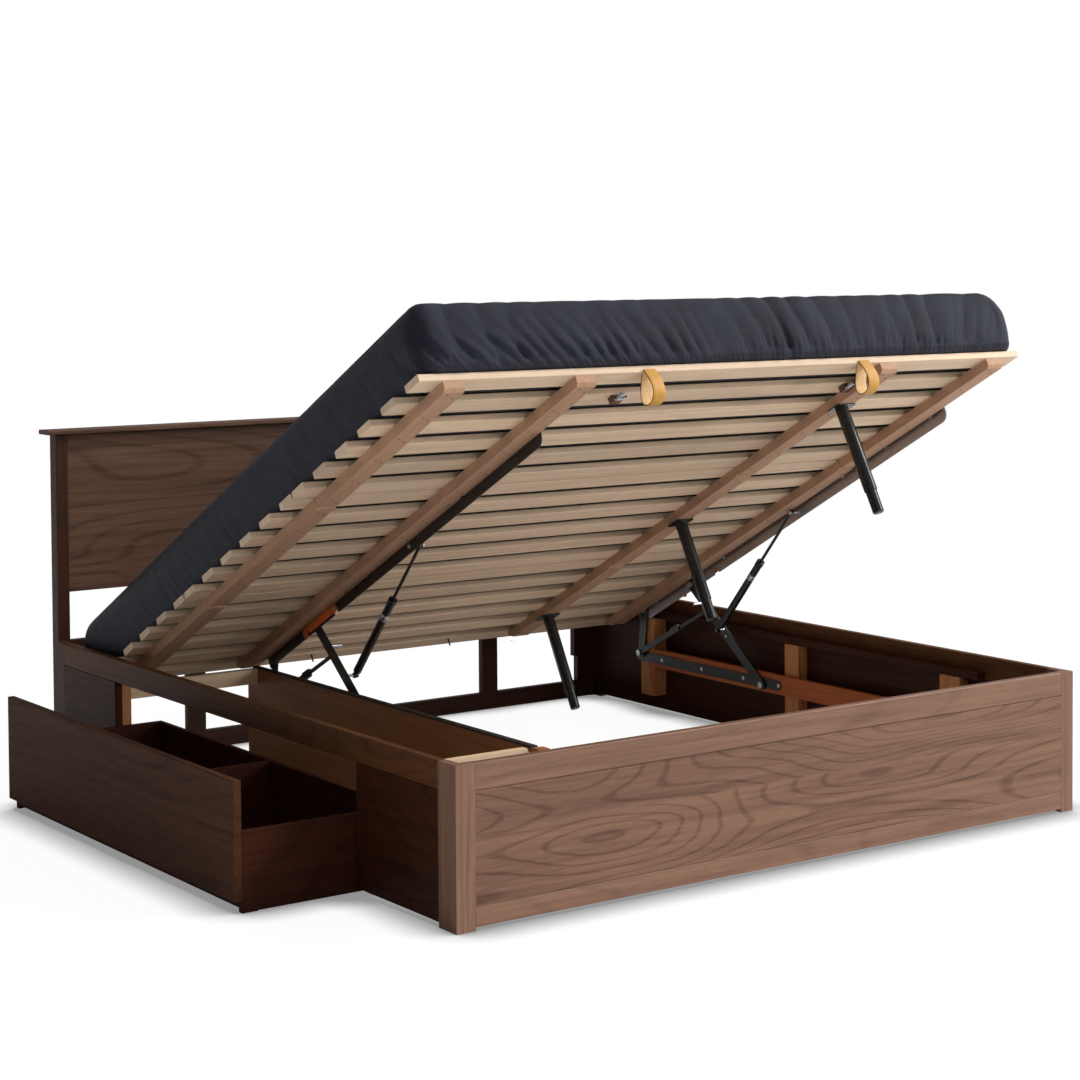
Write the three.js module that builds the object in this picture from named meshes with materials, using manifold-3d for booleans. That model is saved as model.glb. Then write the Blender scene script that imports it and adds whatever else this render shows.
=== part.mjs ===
// Ottoman storage bed: a walnut frame with a side drawer, and a slatted platform that lifts on a
// pair of link mechanisms with gas struts and carries a mattress in a fitted sheet.
// Millimetres. X runs across the bed, Y from the foot to the head, Z up.
// The bed stands as it is seen in use: platform raised, drawer pulled out.

import * as THREE from 'three';
import { mergeVertices } from 'three/addons/utils/BufferGeometryUtils.js';
import Module from 'manifold-3d';

const wasm = await Module();
wasm.setup();

// Frame boards
const bedWidth = 1900;
const sideHeight = 362;
const boardThickness = 22;
const headPostFront = 2046;
const edgeEase = 2;
const footPostWidthLeft = 50;
const footPostWidthRight = 42;
const footPostReturn = 70;
const footRailHeight = 60;
const footBottomRailLift = 8;
const footBottomRailHeight = 45;
const footGlueLine = 155;
const footGlueEase = 0.4;
const sideRailHeight = 63;
const sidePanelLift = 12;
const rightBottomRailTop = 57;
const headStileWidth = 36;

// Drawer opening in the left side
const drawerOpeningFoot = 411;
const drawerOpeningHead = 1680;

// Headboard
const headPostWidth = 36;
const headPostDepth = 44;
const headPostHeight = 947;
const headPanelBottom = 499;
const headPanelThickness = 20;
const headPanelSetback = 6;
const headCapThickness = 13;
const headCapOverhang = 28;
const headCapFrontOverhang = 16;
const headCapBackOverhang = 10;
const headRailSetback = 4;
const headRailThickness = 22;
const headBottomRailHeight = 53;
const headInnerPostLeft = 403;
const headInnerPostWidth = 58;
const headEndStileWidth = 64;
const headEndStileNotch = 13;
const headEndStileNotchTop = 135;

// Wood inside the frame
const ledgerWidth = 28;
const ledgerHeight = 21.5;
const ledgerFoot = 290;
const ledgerHead = 1700;
const innerPostTop = 300;
const wallPostDepth = 50;
const wallPostWidth = 64;
const wallPostHead = 1728;
const wallPostStandoff = 34;
const middlePostFoot = 1000;
const middlePostWidth = 60;
const lowPostFoot = 350;
const lowPostWidth = 75;
const bayPostDepth = 28;
const bayPostWidth = 33;
const bayHeadPostWidth = 54;
const bayPostGap = 4;
const dividerLeft = 466;
const dividerThickness = 16;
const dividerFoot = 385;
const dividerHead = 1766;
const dividerTop = 278;
const dividerCapThickness = 4;
const dividerCapLip = 2;
const dividerPostWidth = 30;
const dividerHeadPostTop = 240;
const mountRailThickness = 15;
const mountRailBottom = 150;
const mountRailTop = 207;
const crossRailThickness = 22;
const crossRailHeight = 42;
const crossRailNotchRadius = 12;

// Drawer
const drawerPull = 308;
const drawerFrontThickness = 20;
const drawerFrontBottom = 27;
const drawerFrontTopGap = 3;
const drawerGap = 7;
const drawerDepth = 441;
const drawerBoard = 18;
const drawerBackThickness = 15;
const drawerBoxTop = 181;
const drawerGlideThickness = 2;
const drawerGlideLength = 40;
const drawerBottomThickness = 10;
const drawerBottomLift = 8;
const drawerPartitionY = 1037;
const drawerPartitionThickness = 15;

// Raised and closed places of the platform's foot edge, at the slats' top face
const raisedAngle = THREE.MathUtils.degToRad(28.08);
const raisedEdgeY = 176;
const raisedEdgeZ = 1184.5;
const closedEdgeY = 50;
const slatSeat = 0.5;

// Slats and bearers
const slatThickness = 18;
const slatWidth = 62;
const slatsPerSection = 6;
const sections = 3;
const sectionGap = 8;
const slatSideGap = 2;
const platformHeadGap = 64.5;
const bearerWidth = 54;
const bearerHeight = 26;
const bearerLeftInset = 63;
const bearerRightInset = 67;
const bearerLegOffset = 391;
const bearerFootInset = 3;
const bearerHeadInset = 51.5;
const bearerJoint = 1;
const bearerChamfer = 8;
const bearerHeadChamfer = 26;
const jointGap = 0.3;

// Mattress and fitted sheet
const mattressFootGap = 6;
const mattressHeadGap = 11;
const mattressLeftGap = 20;
const mattressRightGap = 10;
const mattressHeight = 180;
const mattressCrown = 8;
const mattressPlanRadius = 50;
const mattressTopRadius = 56;
const mattressBottomRadius = 24;
const mattressBulge = 8;
const sheetThickness = 2.5;
const sheetHem = 60;

// Lift mechanism, in layers measured inward from the inner face of each steel rail
const steelThickness = 3;
const linkGap = 0.5;
const linkThickness = 5;
const linkHalfWidth = 15;
const rearLinkHalfWidth = 16;
const pivotPinRadius = 6;
const pivotClearance = 0.3;
const pivotHeadRadius = 9.5;
const pivotHeadThickness = 5;
const upperRailFoot = 262;
const upperRailDepth = 53.7;
const upperRailHeadRun = 41;
const upperRailFlange = 13;
const upperRailFootRadius = 26;
const upperRailNotch = 1354;
const upperRailNotchWidth = 22;
const upperRailNotchDepth = 16;
const upperRailBolts = [324, 520, 719, 1315, 1689];
const upperRailBoltDrop = 20;
const boltHeadRadius = 6;
const boltHeadThickness = 3.2;
const baseRailBottom = 162;
const baseRailHeight = 30;
const baseRailFootRun = 82;
const baseRailHeadRun = 15;
const baseRailBolts = [1066, 1226, 1423, 1618];
const rearPivotHeight = 190;
const mainPivotHeight = 170;
const rearPivot = { s: 1748.7, n: -40 };
const mainPivot = { s: 1494, n: -55 };
const strutPivot = { s: 932, n: -55 };
const strutStud = { along: 221.5, across: 8 };
const stayStud = { along: 315, across: -8 };
const stopBolt = { along: 340, radius: 5, length: 39.5 };
const linkRivets = [204, 277];

// Gas struts
const strutOffset = 29.7;
const strutEyeWidth = 10;
const strutEyeRadius = 8;
const strutStudRadius = 4;
const cylinderRadius = 11;
const cylinderBore = 9;
const cylinderLength = 285;
const cylinderEndGap = 16;
const rodRadius = 4.5;
const pistonRadius = 8.6;
const pistonLength = 12;
const rodInsideCylinder = 30;

// Telescopic stays
const stayGap = 6.7;
const sleeveThickness = 6;
const sleeveWall = 1.5;
const sleeveHalfWidth = 9;
const sleeveLength = 225;
const sleeveCollarLength = 42;
const sleeveCollarHalfWidth = 12;
const sleeveCollarThickness = 9;
const stayArmInside = 107;
const stayArmClearance = 0.3;

// Safety catches
const catchPivot = { s: 1364, n: -56 };
const catchThickness = 3;
const catchHalfHeight = 10.5;
const catchReach = 197;
const catchPinRadius = 4;
const catchHook = { neck: 37, throat: 33, bed: 26, lip: 21, nose: 8, heel: 5 };

// Legs
const legInsets = [210, 313.5, 397];
const legRadius = 17;
const legWall = 2;
const legTubeLength = 231;
const legFlange = { across: 66, along: 50, thickness: 3 };
const legFootRadius = 14.6;
const legFootInside = 108;
const legFloorGap = 1;
const legFootChamfer = 3;

// Leather pull loops, catches and pegs under the slats
const loopWidth = 35;
const loopPlaces = [653.5, 1325.5];
const loopThickness = 3;
const loopOpening = 74;
const loopTip = 94;
const loopLean = 18;
const slatCatchPlaces = [637, 1366];
const pegPlaces = [690, 1165];
const pegRadius = 2.5;
const pegLength = 22;
const pegInset = 10;

// Colours, roughness and metalness
const looks = {
  walnut: [0x82624f, 0.5, 0],
  darkWalnut: [0x3a2820, 0.55, 0],
  plywood: [0x8a5c3c, 0.6, 0],
  beech: [0xb98d66, 0.65, 0],
  pine: [0xd9c3a0, 0.7, 0],
  steel: [0x17171a, 0.4, 0.6],
  zinc: [0xc9ccd0, 0.3, 1],
  catch: [0x9a4a1c, 0.5, 0.2],
  leather: [0xc9932f, 0.6, 0],
  sheet: [0x24252c, 0.9, 0],
  mattress: [0xe6e2da, 0.95, 0],
  plastic: [0x202022, 0.6, 0],
};

// Places that follow from the sizes
const leftInner = boardThickness;
const rightInner = bedWidth - boardThickness;
const sideRailBottom = sideHeight - sideRailHeight;
const leftPlane = dividerLeft + dividerThickness + mountRailThickness;
const rightPlane = rightInner - wallPostDepth;
const lifts = [
  { name: 'left', plane: leftPlane, inward: 1 },
  { name: 'right', plane: rightPlane, inward: -1 },
];
const closedSlatTop = innerPostTop + ledgerHeight + slatSeat + slatThickness;
const platformLength = headPostFront - platformHeadGap - closedEdgeY;
const sectionLength = (platformLength - (sections - 1) * sectionGap) / sections;
const slatPitch = (sectionLength - slatWidth) / (slatsPerSection - 1);
const underSlats = -slatThickness - jointGap;
const underBearers = -slatThickness - bearerHeight;
const upperRailBottom = underSlats - upperRailDepth;
const legBearerRight = rightPlane - bearerLegOffset;
const legX = legBearerRight - bearerWidth / 2;
const bearerLefts = [
  leftInner + bearerLeftInset,
  leftPlane - bearerWidth,
  legBearerRight - bearerWidth,
  rightInner - bearerRightInset - bearerWidth,
];
const mattressLength = headPostFront - boardThickness - mattressFootGap - mattressHeadGap;
const mattressFoot = boardThickness + mattressFootGap - closedEdgeY;
const drawerFoot = drawerOpeningFoot + drawerGap;
const drawerHead = drawerOpeningHead - drawerGap;
const capRight = bedWidth + headCapOverhang;
const capBack = headPostFront + headPostDepth + headCapBackOverhang;

// Geometry helpers: a prism runs along one axis (0 = X, 1 = Y, 2 = Z) and its outline is drawn in
// the next two axes, in turn.
function prism(axis, outline, from, to, holes = []) {
  const shape = new THREE.Shape(outline.map(([a, b]) => new THREE.Vector2(a, b)));
  for (const hole of holes) {
    shape.holes.push(new THREE.Path(hole.map(([a, b]) => new THREE.Vector2(a, b))));
  }
  const geometry = new THREE.ExtrudeGeometry(shape, { depth: 1, bevelEnabled: false });
  const position = geometry.getAttribute('position');
  const point = [0, 0, 0];
  for (let i = 0; i < position.count; i += 1) {
    point[(axis + 1) % 3] = position.getX(i);
    point[(axis + 2) % 3] = position.getY(i);
    point[axis] = position.getZ(i) > 0.5 ? to : from;
    position.setXYZ(i, ...point);
  }
  return geometry;
}

function rectangle(a0, a1, b0, b1, ease = 0) {
  if (ease === 0) {
    return [[a0, b0], [a1, b0], [a1, b1], [a0, b1]];
  }
  return [
    [a0 + ease, b0], [a1 - ease, b0], [a1, b0 + ease], [a1, b1 - ease],
    [a1 - ease, b1], [a0 + ease, b1], [a0, b1 - ease], [a0, b0 + ease],
  ];
}

// A board from its low corner to its high corner, with its four long edges eased
function plank(low, high, ease = 0) {
  const size = high.map((value, i) => value - low[i]);
  const axis = size.indexOf(Math.max(...size));
  const a = (axis + 1) % 3;
  const b = (axis + 2) % 3;
  const outline = rectangle(low[a], high[a], low[b], high[b], ease);
  return prism(axis, outline, low[axis], high[axis]);
}

function arc(a, b, radius, start, end, steps) {
  const points = [];
  for (let i = 0; i <= steps; i += 1) {
    const angle = start + ((end - start) * i) / steps;
    points.push([a + radius * Math.cos(angle), b + radius * Math.sin(angle)]);
  }
  return points;
}

function circle(a, b, radius, sides = 16) {
  return arc(a, b, radius, 0, 2 * Math.PI, sides).slice(0, -1);
}

// A bar with round ends, from one centre to the other along the first axis of its outline
function capsule(from, to, radius) {
  return [
    ...arc(to, 0, radius, -Math.PI / 2, Math.PI / 2, 8),
    ...arc(from, 0, radius, Math.PI / 2, (3 * Math.PI) / 2, 8),
  ];
}

function revolve(profile, segments) {
  return new THREE.LatheGeometry(profile.map(([r, y]) => new THREE.Vector2(r, y)), segments);
}

// Positions only, with shared corners and no triangle of zero area
function bare(geometry) {
  const copy = geometry.clone();
  copy.deleteAttribute('normal');
  copy.deleteAttribute('uv');
  const merged = mergeVertices(copy, 1e-4);
  const index = [];
  for (let i = 0; i < merged.index.count; i += 3) {
    const [a, b, c] = [0, 1, 2].map((k) => merged.index.getX(i + k));
    if (a !== b && b !== c && c !== a) {
      index.push(a, b, c);
    }
  }
  merged.setIndex(index);
  return merged;
}

function toManifold(geometry) {
  const solid = bare(geometry);
  return new wasm.Manifold(new wasm.Mesh({
    numProp: 3,
    vertProperties: new Float32Array(solid.getAttribute('position').array),
    triVerts: new Uint32Array(solid.index.array),
  }));
}

function fromManifold(manifold) {
  const mesh = manifold.getMesh();
  const geometry = new THREE.BufferGeometry();
  geometry.setAttribute('position', new THREE.BufferAttribute(new Float32Array(mesh.vertProperties), 3));
  geometry.setIndex(Array.from(mesh.triVerts));
  return geometry;
}

function join(...geometries) {
  return fromManifold(geometries.map(toManifold).reduce((sum, next) => sum.add(next)));
}

function cut(body, ...tools) {
  return fromManifold(tools.map(toManifold).reduce((rest, tool) => rest.subtract(tool), toManifold(body)));
}

function add(parent, name, geometry, look) {
  const [color, roughness, metalness] = looks[look];
  const solid = bare(geometry);
  solid.computeVertexNormals();
  const material = new THREE.MeshStandardMaterial({ color, roughness, metalness, flatShading: true });
  const mesh = new THREE.Mesh(solid, material);
  mesh.name = name;
  parent.add(mesh);
  return mesh;
}

// The X range of a layer of one lift, from its distances inward of the rail's inner face
function layer(lift, near, far) {
  const face = lift.plane + lift.inward * (jointGap + steelThickness);
  const range = [face + lift.inward * near, face + lift.inward * far];
  return range.sort((a, b) => a - b);
}

function pin(lift, near, far, y, z, radius, sides = 16) {
  return prism(0, circle(y, z, radius, sides), ...layer(lift, near, far));
}

// The platform's plane: s runs from its foot edge to the head, n stands on the slats' top face
function raisedPoint(s, n) {
  const [c, d] = [Math.cos(raisedAngle), Math.sin(raisedAngle)];
  return { y: raisedEdgeY + s * c + n * d, z: raisedEdgeZ - s * d + n * c };
}

function closedPoint(s, n) {
  return { y: closedEdgeY + s, z: closedSlatTop + n };
}

// The fixed pivot at a given height from which a point of the platform is equally far when the
// platform is raised and when it is closed
function basePivot(point, height) {
  const up = raisedPoint(point.s, point.n);
  const down = closedPoint(point.s, point.n);
  const middle = { y: (up.y + down.y) / 2, z: (up.z + down.z) / 2 };
  return { y: middle.y - ((height - middle.z) * (down.z - up.z)) / (down.y - up.y), z: height };
}

function direction(from, to) {
  return Math.atan2(to.z - from.z, to.y - from.y);
}

function distance(from, to) {
  return Math.hypot(to.y - from.y, to.z - from.z);
}

// A stud's place on a link, from its distances along and across the link
function onLink(base, angle, stud) {
  return {
    y: base.y + stud.along * Math.cos(angle) - stud.across * Math.sin(angle),
    z: base.z + stud.along * Math.sin(angle) + stud.across * Math.cos(angle),
  };
}

// Pivots of the lift, as the platform stands raised
const rearBase = basePivot(rearPivot, rearPivotHeight);
const mainBase = basePivot(mainPivot, mainPivotHeight);
const rearTop = raisedPoint(rearPivot.s, rearPivot.n);
const mainTop = raisedPoint(mainPivot.s, mainPivot.n);
const strutTop = raisedPoint(strutPivot.s, strutPivot.n);
const rearLinkLength = distance(rearBase, rearTop);
const mainLinkLength = distance(mainBase, mainTop);
const mainLinkAngle = direction(mainBase, mainTop);
const strutFoot = onLink(mainBase, mainLinkAngle, strutStud);
const strutLength = distance(strutTop, strutFoot);
const stayEnd = onLink(mainBase, mainLinkAngle, stayStud);
const stayLength = distance(rearBase, stayEnd);

// The whole bed stands with the middle of its plan at the origin and its posts on the floor
const bed = new THREE.Group();
bed.position.set((drawerPull - capRight) / 2, -capBack / 2, 0);

// Foot end
function footPosts() {
  const left = [
    [0, 0], [footPostWidthLeft, 0], [footPostWidthLeft, boardThickness],
    [boardThickness, boardThickness], [boardThickness, footPostReturn], [0, footPostReturn],
  ];
  const right = [
    [bedWidth - footPostWidthRight, 0], [bedWidth, 0], [bedWidth, footPostReturn],
    [rightInner, footPostReturn], [rightInner, boardThickness],
    [bedWidth - footPostWidthRight, boardThickness],
  ];
  add(bed, 'foot_left_post', prism(2, left, 0, sideHeight), 'walnut');
  add(bed, 'foot_right_post', prism(2, right, 0, sideHeight), 'walnut');
}

function footBoards() {
  const [x0, x1] = [footPostWidthLeft, bedWidth - footPostWidthRight];
  const railBottom = sideHeight - footRailHeight;
  const lowTop = footBottomRailLift + footBottomRailHeight;
  const glue = lowTop + footGlueLine;
  const board = (z0, z1) => plank([x0, 0, z0], [x1, boardThickness, z1], edgeEase);
  add(bed, 'foot_top_rail', board(railBottom, sideHeight), 'walnut');
  add(bed, 'foot_bottom_rail', board(footBottomRailLift, lowTop), 'walnut');
  const panel = (z0, z1, ease) => plank([x0, 0, z0], [x1, boardThickness, z1], ease);
  add(bed, 'foot_panel', join(
    panel(lowTop, glue, footGlueEase),
    panel(glue, railBottom, footGlueEase),
  ), 'walnut');
}

// Left side, open for the drawer; a ledger along its top rail carries the slats' ends
function leftSide() {
  const head = headPostFront - headStileWidth;
  const panel = (y0, y1) => plank([0, y0, sidePanelLift], [boardThickness, y1, sideRailBottom]);
  add(bed, 'left_top_rail', join(
    plank([0, footPostReturn, sideRailBottom], [boardThickness, head, sideHeight], edgeEase),
    ledger(leftInner - edgeEase, leftInner + ledgerWidth),
  ), 'darkWalnut');
  add(bed, 'left_foot_panel', panel(footPostReturn, drawerOpeningFoot), 'darkWalnut');
  add(bed, 'left_head_panel', panel(drawerOpeningHead, head), 'darkWalnut');
}

function ledger(x0, x1) {
  return plank([x0, ledgerFoot, innerPostTop], [x1, ledgerHead, innerPostTop + ledgerHeight], edgeEase / 2);
}

function rightSide() {
  const head = headPostFront - headStileWidth;
  const board = (z0, z1, ease) => plank([rightInner, footPostReturn, z0], [bedWidth, head, z1], ease);
  add(bed, 'right_top_rail', join(
    board(sideRailBottom, sideHeight, edgeEase),
    ledger(rightInner - ledgerWidth, rightInner + edgeEase),
  ), 'darkWalnut');
  add(bed, 'right_panel', join(
    board(rightBottomRailTop, sideRailBottom, 0),
    board(footBottomRailLift, rightBottomRailTop, edgeEase),
  ), 'darkWalnut');
}

// Headboard: each post carries a stile that closes the side; panel and cap between and on them
function headboard() {
  const back = headPostFront + headPostDepth;
  const panelFront = headPostFront + headPanelSetback;
  const [x0, x1] = [headPostWidth, bedWidth - headPostWidth];
  const post = (x, stile) => join(
    plank([x, headPostFront, 0], [x + headPostWidth, back, headPostHeight], edgeEase),
    plank(
      [stile, headPostFront - headStileWidth, 0],
      [stile + boardThickness, headPostFront + edgeEase * 2, sideHeight],
    ),
  );
  add(bed, 'headboard_left_post', post(0, 0), 'darkWalnut');
  add(bed, 'headboard_right_post', post(x1, rightInner), 'darkWalnut');
  add(bed, 'headboard_panel', plank(
    [x0, panelFront, headPanelBottom],
    [x1, panelFront + headPanelThickness, headPostHeight],
  ), 'walnut');
  add(bed, 'headboard_cap', plank(
    [-headCapOverhang, headPostFront - headCapFrontOverhang, headPostHeight],
    [capRight, capBack, headPostHeight + headCapThickness],
    edgeEase,
  ), 'walnut');
}

// Head rails: the middle one carries two short posts up to the headboard's panel, the lower one
// four posts up to the middle rail, the outer two with a step near the floor
function headRails() {
  const front = headPostFront + headRailSetback;
  const back = front + headRailThickness;
  const [x0, x1] = [headPostWidth, bedWidth - headPostWidth];
  const rail = (z0, z1) => plank([x0, front, z0], [x1, back, z1]);
  const mirrored = bedWidth - headInnerPostLeft - headInnerPostWidth;
  const posts = (z0, z1) => [headInnerPostLeft, mirrored].map(
    (x) => plank([x, front, z0], [x + headInnerPostWidth, back, z1]),
  );
  add(bed, 'head_middle_rail', join(
    rail(sideRailBottom, sideHeight),
    ...posts(sideHeight - edgeEase, headPanelBottom),
  ), 'darkWalnut');
  const low = headBottomRailHeight - edgeEase;
  const inner = x0 + headEndStileWidth;
  const stile = (place) => prism(1, [
    [low, place(x0)], [low, place(inner - headEndStileNotch)],
    [headEndStileNotchTop, place(inner - headEndStileNotch)], [headEndStileNotchTop, place(inner)],
    [sideRailBottom, place(inner)], [sideRailBottom, place(x0)],
  ], front, back);
  add(bed, 'head_lower_frame', join(
    rail(0, headBottomRailHeight),
    ...posts(low, sideRailBottom),
    stile((x) => x),
    stile((x) => bedWidth - x),
  ), 'darkWalnut');
}

// Divider between the drawer bay and the storage space, glued up with its two end posts and the
// rail that the left mechanism is screwed to; a cap covers its top edge
function divider() {
  const right = dividerLeft + dividerThickness;
  const end = (y, top) => plank([dividerLeft, y, 0], [leftPlane, y + dividerPostWidth, top]);
  add(bed, 'divider_panel', join(
    plank([dividerLeft, dividerFoot - 1, sidePanelLift], [right, dividerHead + 1, dividerTop]),
    plank([right - 1, dividerFoot - 1, mountRailBottom], [leftPlane, dividerHead + 1, mountRailTop]),
    end(dividerFoot - dividerPostWidth, dividerTop),
    end(dividerHead, dividerHeadPostTop),
  ), 'plywood');
  add(bed, 'divider_cap', plank(
    [dividerLeft - dividerCapLip, dividerFoot, dividerTop],
    [right + dividerCapLip, dividerHead, dividerTop + dividerCapThickness],
  ), 'plastic');
}

// Cross rails of the drawer bay, each with the post that carries it beside the drawer opening;
// the foot one has a round notch where it meets the divider's post
function crossRails() {
  const y0 = drawerOpeningFoot - bayPostGap - crossRailThickness;
  const x0 = leftInner + bayPostDepth;
  const [z0, z1] = [dividerTop - crossRailHeight, dividerTop];
  const notch = dividerLeft - crossRailNotchRadius;
  const outline = [
    [z0, x0 - 1], [z1, x0 - 1], [z1, notch],
    ...arc(z1, dividerLeft, crossRailNotchRadius, (3 * Math.PI) / 2, Math.PI, 6).slice(1, -1),
    [z1 - crossRailNotchRadius, dividerLeft], [z0, dividerLeft],
  ];
  const post = (y, width) => plank([leftInner, y, 0], [x0, y + width, innerPostTop - edgeEase]);
  const footPost = drawerOpeningFoot - bayPostGap - bayPostWidth;
  const headPost = drawerOpeningHead + bayPostGap;
  const headRail = headPost + bayHeadPostWidth;
  add(bed, 'foot_cross_rail', join(
    prism(1, outline, y0, y0 + crossRailThickness),
    post(footPost, bayPostWidth),
  ), 'beech');
  add(bed, 'head_cross_rail', join(
    plank(
      [leftInner, headRail - 1, z0],
      [dividerLeft, headRail + crossRailThickness, z1],
    ),
    post(headPost, bayHeadPostWidth),
  ), 'beech');
}

// Right wall: three posts under the ledger and the rail that the right mechanism is screwed to
function rightMountRail() {
  const standoff = rightInner - wallPostStandoff;
  const post = (y, width, depth) => plank(
    [rightInner - depth, y, rightBottomRailTop],
    [rightInner, y + width, innerPostTop],
  );
  const headPost = wallPostHead - wallPostWidth;
  add(bed, 'right_mount_rail', join(
    post(headPost, wallPostWidth, wallPostDepth),
    post(middlePostFoot, middlePostWidth, wallPostStandoff),
    post(lowPostFoot, lowPostWidth, wallPostStandoff),
    plank([rightPlane, lowPostFoot, mountRailBottom], [standoff + 1, headPost + 1, mountRailTop]),
  ), 'beech');
}

// Steel rails screwed to the mount rails, with the fixed pivots' pins and the screw heads
function baseRails() {
  const [y0, y1] = [mainBase.y - baseRailFootRun, rearBase.y + baseRailHeadRun];
  const middle = baseRailBottom + baseRailHeight / 2;
  const linkEnd = linkGap + linkThickness + linkGap;
  const stayOuter = stayGap + sleeveThickness + linkGap;
  for (const lift of lifts) {
    const range = layer(lift, -steelThickness, 0);
    const bar = prism(0, capsule(y0 + baseRailHeight / 2, y1, baseRailHeight / 2), ...range);
    bar.translate(0, 0, middle);
    add(bed, `base_rail_${lift.name}`, join(
      bar,
      prism(0, circle(rearBase.y, rearBase.z, rearLinkHalfWidth, 24), ...range),
      prism(0, circle(mainBase.y, mainBase.z, linkHalfWidth, 24), ...range),
      pivotBolt(lift, -1, linkEnd, mainBase),
      pivotBolt(lift, -1, stayOuter, rearBase),
      ...baseRailBolts.map((y) => pin(lift, -1, linkGap / 2, y, middle, boltHeadRadius, 12)),
    ), 'steel');
  }
}

// A pin with a head on its inner end
function pivotBolt(lift, near, far, place) {
  return join(
    pin(lift, near, far + 1, place.y, place.z, pivotPinRadius, 20),
    pin(lift, far, far + pivotHeadThickness, place.y, place.z, pivotHeadRadius, 20),
  );
}

// Drawer, built where it stands when closed and pulled out by its group
function drawer() {
  const group = new THREE.Group();
  group.position.x = -drawerPull;
  bed.add(group);
  const [y0, y1] = [drawerFoot, drawerHead];
  const front = drawerFrontThickness;
  const back = drawerDepth - drawerBackThickness;
  const bottom = drawerGlideThickness;
  const floor = bottom + drawerBottomLift;
  const floorTop = floor + drawerBottomThickness;
  const [inner0, inner1] = [y0 + drawerBoard, y1 - drawerBoard];
  const partition = drawerPartitionY - drawerPartitionThickness / 2;
  add(group, 'drawer_front', plank(
    [0, y0, drawerFrontBottom],
    [front, y1, sideRailBottom - drawerFrontTopGap],
    edgeEase,
  ), 'walnut');
  const ends = [front, drawerDepth - drawerGlideLength];
  const side = (y) => join(
    plank([front, y, bottom], [drawerDepth, y + drawerBoard, drawerBoxTop]),
    ...ends.map((x) => plank([x, y + 1, 0], [x + drawerGlideLength, y + drawerBoard - 1, bottom + 1])),
  );
  add(group, 'drawer_foot_side', side(y0), 'darkWalnut');
  add(group, 'drawer_head_side', side(inner1), 'darkWalnut');
  add(group, 'drawer_back', plank(
    [back, inner0, bottom],
    [drawerDepth, inner1, drawerBoxTop],
  ), 'darkWalnut');
  add(group, 'drawer_partition', plank(
    [front, partition, floorTop],
    [back, partition + drawerPartitionThickness, drawerBoxTop],
  ), 'darkWalnut');
  add(group, 'drawer_bottom', plank([front, inner0, floor], [back, inner1, floorTop]), 'darkWalnut');
}

// The raised platform: X across, Y along the slats' run (s), Z out of their top face (n)
const platform = new THREE.Group();
platform.position.set(0, raisedEdgeY, raisedEdgeZ);
platform.rotation.x = -raisedAngle;
bed.add(platform);

// Three slatted sections end to end: six slats each, screwed to four bearers with chamfered ends.
// The section at the head has two pegs under its last slat.
function slattedSections() {
  const [x0, x1] = [leftInner + slatSideGap, rightInner - slatSideGap];
  const sectionNames = ['foot', 'middle', 'head'];
  sectionNames.forEach((name, section) => {
    const start = section * (sectionLength + sectionGap);
    const pieces = bearers(section, start);
    for (let i = 0; i < slatsPerSection; i += 1) {
      const s = start + i * slatPitch;
      pieces.push(plank([x0, s, -slatThickness], [x1, s + slatWidth, 0], edgeEase));
    }
    if (section === sections - 1) {
      pieces.push(...pegs());
    }
    add(platform, `slatted_section_${name}`, join(...pieces), 'pine');
  });
}

function bearers(section, start) {
  const last = section === sections - 1;
  const overrun = (sectionGap - bearerJoint) / 2;
  const from = section === 0 ? bearerFootInset : start - overrun;
  const to = last ? platformLength - bearerHeadInset : start + sectionLength + overrun;
  const [low, high] = [underBearers, -slatThickness];
  const endChamfer = last ? bearerHeadChamfer : bearerChamfer;
  const outline = [
    [from, high], [from, low + bearerChamfer], [from + bearerChamfer, low],
    [to - endChamfer, low], [to, low + endChamfer / 2], [to, high],
  ];
  return bearerLefts.map((x) => prism(0, outline, x, x + bearerWidth));
}

function pegs() {
  const s = platformLength - slatWidth + pegInset;
  const [low, high] = [-slatThickness - pegLength, -slatThickness + 1];
  return pegPlaces.map((x) => prism(2, circle(x, s, pegRadius, 10), low, high));
}

// Steel angles along the underside: a deep plate and a flange against the slats
function upperRails() {
  const head = rearPivot.s + upperRailHeadRun;
  const [top, bottom] = [underSlats, upperRailBottom];
  const notch = upperRailNotchWidth / 2;
  const middle = upperRailNotch + notch;
  const outline = [
    [upperRailFoot, top],
    ...arc(upperRailFoot + upperRailFootRadius, bottom + upperRailFootRadius, upperRailFootRadius,
      Math.PI, (3 * Math.PI) / 2, 6),
    [upperRailNotch, bottom],
    ...arc(middle, bottom + upperRailNotchDepth - notch, notch, Math.PI, 0, 6),
    [upperRailNotch + upperRailNotchWidth, bottom],
    [head, bottom], [head, top],
  ];
  for (const lift of lifts) {
    const [f0, f1] = layer(lift, -1, upperRailFlange);
    add(platform, `upper_rail_${lift.name}`, join(
      prism(0, outline, ...layer(lift, -steelThickness, 0)),
      plank([f0, upperRailFoot + 10, top - steelThickness], [f1, head, top]),
      ...railBolts(lift),
    ), 'steel');
  }
}

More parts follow.
